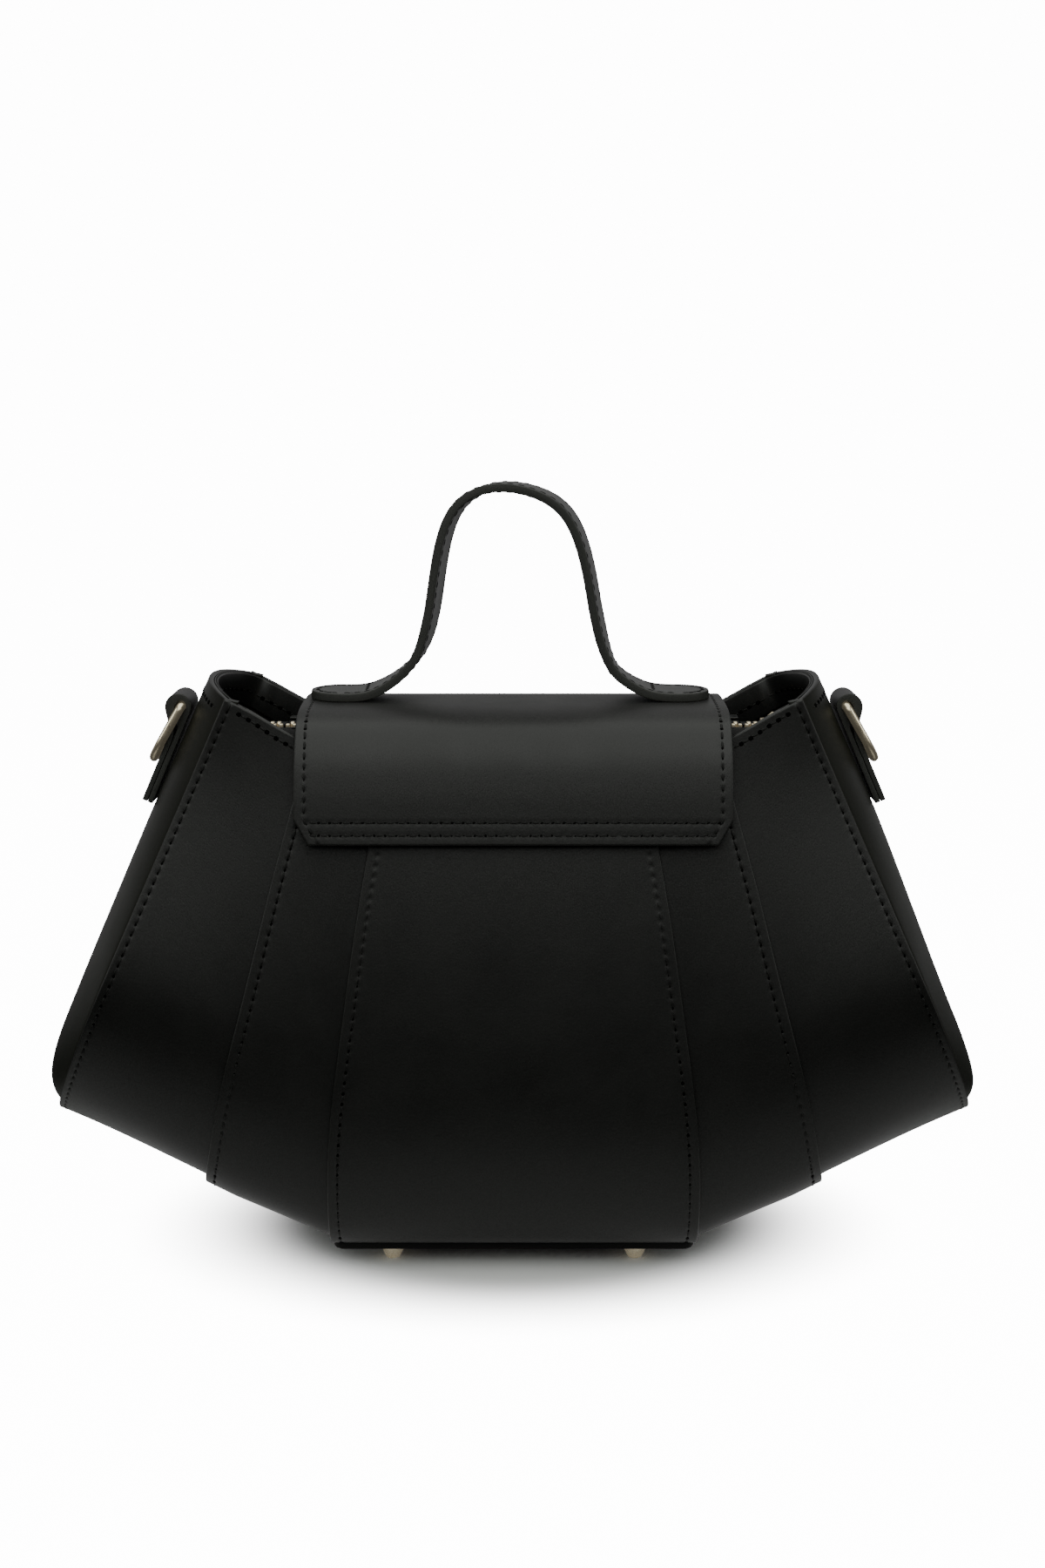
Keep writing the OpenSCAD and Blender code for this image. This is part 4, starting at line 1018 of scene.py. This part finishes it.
# Round the ring the leather is padded on its inner side, down to a small gap to the wire.
room = np.hypot(path[:, 0] - BAR_OUT, path[:, 1] + TAB_DROP) - WIRE_R - PAD_CLEAR
half_t = TAB_T/2 - 0.03
pad = (np.clip(room, half_t, PAD_T) - half_t)*ease(-TAB_DROP - 9, -TAB_DROP - 4, path[:, 1])
rows = []
for y in (-TAB_STITCH_Y, TAB_STITCH_Y):
    up = -TAB_DROP - np.linspace(TAB_L - TAB_STITCH_LOW, TAB_STITCH_TOP, 40)
    rows.append((frames_on(on_end(TAB_FACE + TAB_T/2, y, up), END_OUT, trim=0.6), 0))
for up in (-TAB_DROP - TAB_L + TAB_STITCH_LOW + 0.3, -TAB_DROP - TAB_STITCH_TOP - 0.5):
    across = np.linspace(-TAB_STITCH_Y, TAB_STITCH_Y, 30)
    rows.append((frames_on(on_end(TAB_FACE + TAB_T/2, across, up), END_OUT, trim=1.4), 0))
for side, flip in SIDES:
    o = sheet(f"{side}_tab_leather", P, N, -half_t - pad[:, None], half_t, [BLACK, RIM], r=0.3,
              mirror=flip)
    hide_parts(f"{side}_ring_tab")
    threads(f"{side}_tab_stitches", rows, flip, width=0.6, height=0.36)


def ring_wire():
    """The ring's middle line: a bar with bent corners, two legs and half a circle, leaning on the tab."""
    bend_r, rc = TAB_W/2 + GAP + WIRE_R, 1.75
    clear = RING_LEG + math.sqrt(bend_r**2 - TAB_W**2/4)
    lean = math.asin((TAB_IN + 2*TAB_T + GAP + WIRE_R - BAR_OUT)/clear)
    quarter, leg = np.linspace(0, np.pi/2, 8)[1:], np.linspace(rc, RING_LEG, 5)[1:]
    wire = [(y, 0.0) for y in np.linspace(rc - bend_r, bend_r - rc, 14)]
    wire += [(bend_r - rc + rc*math.sin(x), -rc + rc*math.cos(x)) for x in quarter]
    wire += [(bend_r, -z) for z in leg]
    wire += [(bend_r*math.cos(x), -RING_LEG - bend_r*math.sin(x)) for x in np.linspace(0, np.pi, 44)[1:]]
    wire += [(-bend_r, -z) for z in np.linspace(RING_LEG, rc, 5)[1:]]
    wire += [(rc - bend_r - rc*math.cos(x), -rc + rc*math.sin(x)) for x in quarter[:-1]]
    y, z = np.array(wire).T
    return on_end(BAR_OUT - z*math.sin(lean), y, -TAB_DROP + z*math.cos(lean))


for side, flip in SIDES:
    o = make(f"{side}_ring_wire", *tube(ring_wire(), WIRE_R, 22, END_OUT, True), GOLD, f"{side}_ring", flip)
    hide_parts(f"{side}_d_ring")


# Sole and feet

ys = np.concatenate([np.linspace(-SOLE_HALF_D, -44, 14), np.linspace(-44, 44, 31)[1:-1],
                     np.linspace(44, SOLE_HALF_D, 14)])
turned = SOLE_CORNER - np.minimum(SOLE_HALF_D - np.abs(ys), SOLE_CORNER)
half = BASE_W + GAP - SOLE_CORNER + np.sqrt(SOLE_CORNER**2 - turned**2)
X = half[:, None]*np.linspace(-1, 1, 41)
P = xyz(X, ys[:, None], SOLE_LOW)
o = sheet("sole_leather", P, UP, 0, SOLE_TOP - SOLE_LOW, [EDGE, SOLE_EDGE_SHADED], r=0.6)
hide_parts("base_sole")
a = np.linspace(0, 2*np.pi, 200)
SQUARE = 1/8
edge = xyz((BASE_W - 3.2)*np.sign(np.cos(a))*np.abs(np.cos(a))**SQUARE,
           (SOLE_HALF_D - 3.6)*np.sign(np.sin(a))*np.abs(np.sin(a))**SQUARE, SOLE_LOW)
threads("sole_stitches", [(frames_on(edge, -UP, trim=0), 0)])

FOOT_X, FOOT_Y = 46.5, 38
FOOT = [(0.01, 0.0), (2.2, 0.03), (2.55, 0.2), (2.85, 0.6), (3.25, 1.3), (3.75, 2.3), (4.1, 3.2),
        (4.35, 4.1), (4.48, 5.0), (4.5, 5.8), (4.5, 7.25), (4.3, 7.55), (0.01, 7.6)]
SHANK = [(0.01, 7.5), (1.5, 7.5), (1.5, 25.4), (0.01, 25.5)]
places = [(sx*FOOT_X, sy*FOOT_Y) for sx, sy in product(SIGNS, repeat=2)]
parts = [lathe(FOOT, *at, 48) for at in places] + [lathe(SHANK, *at, 20) for at in places]
o = make("feet_studs", *join(parts), GOLD)
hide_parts("feet")


# Zip

TAPE_LO, TAPE_HI, TAPE_IN, TAPE_OUT = -0.4, 0.35, 3.6, 17
LIP_H = ZIP_H + 0.4 + 0.15
END_HALF_L, END_TAPE_L, END_GAP = 106.545, 121.0, 0.3
ZIP_PITCH, ZIP_STITCH_Y = 3.4, 16.0


def tooth(x, side):
    """One moulded tooth: a clamp on the tape's edge and a narrower nose towards the middle."""
    return [box((x, side*2.85, ZIP_H), (1.5, 2.4, TOOTH_H), 0.25),
            box((x, side*1.15, ZIP_H), (1.15, 1.3, TOOTH_H*0.78), 0.22)]


def teeth(x0, x1, side, room):
    """Teeth from x0 to x1. Those of the front half stand between those of the back half."""
    shift = 0 if side > 0 else TOOTH_PITCH/2
    first, last = math.ceil((x0 - shift + room)/TOOTH_PITCH), math.floor((x1 - shift - room)/TOOTH_PITCH)
    return [part for k in range(first, last + 1) for part in tooth(k*TOOTH_PITCH + shift, side)]


def tape(name, X, Y, Z, body, mirror=False):
    o = sheet(name, xyz(X, Y, Z), UP, TAPE_LO, TAPE_HI, [TAPE, TAPE], r=0.15, body=body, mirror=mirror)
    return o


def panel_line(count):
    """A zip panel's middle line, from its hinge to its edge, with normals."""
    z = RIM_H - 11
    y = float(np.interp(z, PANEL[:, 2], -PANEL[:, 1])) - 3.6
    points = [(y, z), (y - 4, z + 2.2), (28, ZIP_H - 1.2), (21, LIP_H + 0.4), (17.3, LIP_H + 0.6),
              (15.4, LIP_H + 0.6), (14.0, LIP_H + 0.6)]
    line = Curve([(0, *p) for p in points])(np.linspace(0, len(points) - 1, count))
    d = unit(np.gradient(line, axis=0))
    return line, xyz(0, d[:, 2], -d[:, 1])


for name, side in HALVES:
    parts = teeth(-ZIP_HALF_L, ZIP_HALF_L, side, 0.8)
    o = make(f"zip_{name}_teeth", *join(parts), GOLD, f"zip_{name}", smooth=False)
    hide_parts(f"zip_teeth_{name}")
    xs = np.linspace(-ZIP_HALF_L, ZIP_HALF_L, 90)
    line, nrm = panel_line(34)
    P = xyz(xs[:, None], side*line[:, 1], line[:, 2])
    N = np.broadcast_to(nrm*np.array([1, side, 1]), P.shape)
    P = P + (0.15*np.sin(xs/11)[:, None]*np.sin(np.linspace(0, np.pi, 34)))[..., None]*N
    o = sheet(f"zip_{name}_panel", P, N, -0.5, 0.5, [INNER, EDGE], r=0.3, body=f"zip_{name}")
    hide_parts(f"zip_panel_{name}")
    p = xyz(xs, side*ZIP_STITCH_Y, LIP_H + 1.05)
    threads(f"zip_{name}_stitches", [(frames_on(p, UP, pitch=ZIP_PITCH), 0)], body=f"zip_{name}",
            length=2.5, width=0.6, height=0.5, pitch=ZIP_PITCH)
    X, Y = grid(np.linspace(-ZIP_HALF_L, ZIP_HALF_L, 60), np.linspace(TAPE_IN, TAPE_OUT, 8))
    o = tape(f"zip_{name}_tape", X, side*Y, ZIP_H, f"zip_{name}")
    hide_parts(f"zip_tape_{name}")

parts = []
for x0, x1 in ((-END_HALF_L, -ZIP_HALF_L - END_GAP), (ZIP_HALF_L + END_GAP, END_HALF_L)):
    for side in SIGNS:
        parts += teeth(x0, x1, side, 0.75)
o = make("zip_end_teeth_set", *join(parts), GOLD, smooth=False)
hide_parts("zip_end_teeth")
for side, flip in SIDES:
    X, Y = grid(np.linspace(ZIP_HALF_L + END_GAP, END_TAPE_L, 24), np.linspace(TAPE_IN, 11, 6))
    for half, sy in HALVES:
        o = tape(f"{side}_end_tape_{half}", X, sy*Y, ZIP_H - 0.8*ease(108, END_TAPE_L, X), "bag", flip)
        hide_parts(f"{side}_zip_end")


# Slider and puller

PLATE_Z = TOOTH_H/2 + GAP
SLIDER_L, SLIDER_W, SLIDER_WALL = 11, 10.2, 1.0
parts = []
for sz in SIGNS:
    z = ZIP_H + sz*(PLATE_Z + SLIDER_WALL/2)
    parts.append(box((SLIDER_X, 0, z), (SLIDER_L, SLIDER_W, SLIDER_WALL), 0.35))
    for sy in SIGNS:
        wall = (SLIDER_L, SLIDER_WALL, 1.5)
        parts.append(box((SLIDER_X, sy*(SLIDER_W - SLIDER_WALL)/2, ZIP_H + sz*1.55), wall, 0.25))
parts.append(box((SLIDER_X, 0, ZIP_H), (2, 0.5, 3.4), 0.08))
bridge = [(-2.6, 0.8), (-2.4, 2.4), (-1.3, 3.35), (1.3, 3.35), (2.4, 2.4), (2.6, 0.8)]
bridge = [(SLIDER_X + x, 0, ZIP_H + PLATE_Z + z) for x, z in bridge]
parts.append(tube(bridge, 0.62, 10, (0, 1, 0)))
o = make("zip_slider_body", *join(parts), GOLD, "slider", smooth=False)
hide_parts("zip_slider")

PIN_Z = ZIP_H + PLATE_Z + SLIDER_WALL + 1.4
PIN_R, PIN_HALF_L = 0.45, 1.9
PULLER_T, PULLER_HOLE, HOLE_R = 1.1, 11.0, 1.5
pin = [(SLIDER_X, -PIN_HALF_L, PIN_Z), (SLIDER_X, PIN_HALF_L, PIN_Z)]
parts = [tube(pin, PIN_R, 12, UP)]
for sy in SIGNS:
    parts.append(box((SLIDER_X + 2.2, sy*1.45, PIN_Z), (5.2, 0.85, 0.95), 0.2))
outline = [(4.0, 0), (4.0, 2.2), (5.0, 3.0), (8.5, 3.3), (11.4, 3.3)]
outline += [(11.1 + 3.4*math.cos(x), 3.4*math.sin(x)) for x in np.linspace(math.pi/2, 0, 9)]
outline += [(x, -y) for x, y in outline[::-1][1:-1]]
n = len(outline)
turns = [math.atan2(y, x - PULLER_HOLE) for x, y in outline]
hole = [(PULLER_HOLE + HOLE_R*math.cos(b), HOLE_R*math.sin(b)) for b in turns]
verts = [(SLIDER_X + x, y, PIN_Z + sz*PULLER_T/2)
         for line in (outline, hole) for sz in SIGNS for x, y in line]
faces = []
for i in range(n):
    j = (i + 1) % n
    faces += [[i, j, n + j, n + i], [2*n + j, 2*n + i, 3*n + i, 3*n + j], [n + i, n + j, 3*n + j, 3*n + i],
              [j, i, 2*n + i, 2*n + j]]
parts.append((verts, faces))
o = make("zip_puller_body", *join(parts), GOLD, "puller", smooth=False)
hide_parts("zip_puller")

# CAD nodes that stay

STAY = dict(base_board=BOARD, foot_washers=GOLD, flap_magnet=STEEL, body_magnet=STEEL, zip_stops=GOLD)
for node, mat in STAY.items():
    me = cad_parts[node].data
    me.materials.clear()
    me.materials.append(mat)


# Floor, light and camera

WHITE = 14.0
FLOOR_RADII, FLOOR_STEPS = (0.5, 2, 30), 96


def away(t, vec, wide, deep, a, b, low, high):
    """A value that goes from low to high with the distance from the middle, over an oval of that size."""
    m, n = new(t, "Mapping"), new(t, "VectorMath")
    n.operation = "LENGTH"
    put(t, m, {"Vector": vec, "Scale": (1/wide, 1/deep, 0)})
    put(t, n, {0: m.outputs[0]})
    return spread(t, n.outputs["Value"], low, high, a, b, smooth=True)


def seen_or_lit(t, seen, lit):
    """One shader where the camera looks at it, and another one for the light that it gives."""
    path, mix = new(t, "LightPath"), new(t, "MixShader")
    return put(t, mix, {0: path.outputs["Is Camera Ray"], 1: lit.outputs[0], 2: seen.outputs[0]}).outputs[0]


def floor_material():
    """The sweep is burnt out to white around the bag, and its white glow fades out over an oval round the
    bag: painted soft shadow, on top of the lamps' own shadow. Light from it reaches the bag only from nearby.
    """
    m, t, b = start("pale_floor")
    p = coords(t, "Object")
    out = [n for n in t.nodes if n.type == "OUTPUT_MATERIAL"][0]
    # Painted shadow: the camera sees no glow under the bag, and the glow rises to full white outside an oval
    # round it.
    glow = away(t, p, 0.102, 0.075, 0.68, 1.58, 0.0, WHITE**0.5)
    put(t, b, {"Base Color": blend_colours(t, noise(t, p, 30, 2), (0.80, 0.80, 0.80), (0.82, 0.82, 0.82)),
               "Roughness": 0.9, "Specular IOR Level": 0.1, "Emission Color": (1, 1, 1, 1),
               "Emission Strength": times(t, glow, glow)})
    dim, sweep = new(t, "BsdfDiffuse"), new(t, "Emission")
    add, split = new(t, "AddShader"), new(t, "SeparateXYZ")
    put(t, dim, {"Color": away(t, p, 0.26, 0.15, 0.6, 1.5, 0.6, 0.03)})
    put(t, split, {0: p})
    under = times(t, away(t, p, 0.2, 0.075, 0.7, 1.2, 0.55, 0.0), away(t, p, 0.09, 0.075, 0.8, 1.2, 0.1, 1.0))
    put(t, sweep, {"Strength": total(t, spread(t, split.outputs["Y"], 0, 0.35, 0.3, 1.2), under)})
    put(t, add, {0: dim.outputs[0], 1: sweep.outputs[0]})
    put(t, out, {"Surface": seen_or_lit(t, b, add)})
    return m


n = FLOOR_STEPS
turns = 2*np.pi*np.arange(n)/n
verts = [(0, 0, 0)] + [(r*math.cos(a), r*math.sin(a), 0) for r in FLOOR_RADII for a in turns]
faces = [[0, 1 + k, 1 + (k + 1) % n] for k in range(n)]
for b in (1, 1 + n):
    faces += [[b + k, b + n + k, b + n + (k + 1) % n, b + (k + 1) % n] for k in range(n)]
floor_mesh = bpy.data.meshes.new("floor")
floor_mesh.from_pydata(verts, [], faces)
floor_mesh.materials.append(floor_material())
floor = link(bpy.data.objects.new("floor", floor_mesh))

world = bpy.data.worlds.new("studio")
bpy.context.scene.world = world
world.use_nodes = True
t = world.node_tree
t.nodes.clear()
out, split = new(t, "OutputWorld"), new(t, "SeparateXYZ")
seen, lit = new(t, "Background"), new(t, "Background")
put(t, split, {0: coords(t, "Generated")})
put(t, seen, {"Color": (1, 1, 1, 1), "Strength": WHITE})
sky = spread(t, split.outputs["Y"], 0.06, 0.41, 0.5, 1.0, smooth=True)
put(t, lit, {"Color": (1, 1, 1, 1), "Strength": sky})
put(t, out, {"Surface": seen_or_lit(t, seen, lit)})


def area(name, place, target, width, height, power):
    d = bpy.data.lights.new(name, "AREA")
    d.shape, d.size, d.size_y, d.energy, d.color = "RECTANGLE", width, height, power, (0.97, 1.0, 0.95)
    o = link(bpy.data.objects.new(name, d))
    o.location = place
    o.rotation_euler = (Vector(target) - Vector(place)).to_track_quat("-Z", "Y").to_euler()


area("top_light", (0, -0.15, 1.4), (0, -0.15, 0.1), 1.8, 1.9, 15)
area("front_light", (0, -1.45, 1.1), (0, 0, 0.15), 2.0, 0.9, 9.8)
area("left_light", (-1.6, -0.5, 0.7), (0, 0, 0.12), 0.8, 1.0, 5)
area("right_light", (1.6, -0.5, 0.7), (0, 0, 0.12), 0.8, 1.0, 5)

cam = bpy.data.cameras.new("camera")
cam.sensor_width, cam.lens = 36, 51.34
camera = link(bpy.data.objects.new("camera", cam))
camera.location = (0.0033, -0.855, 0.3287)
camera.rotation_euler = (math.radians(80), 0, 0)
bpy.context.scene.camera = camera
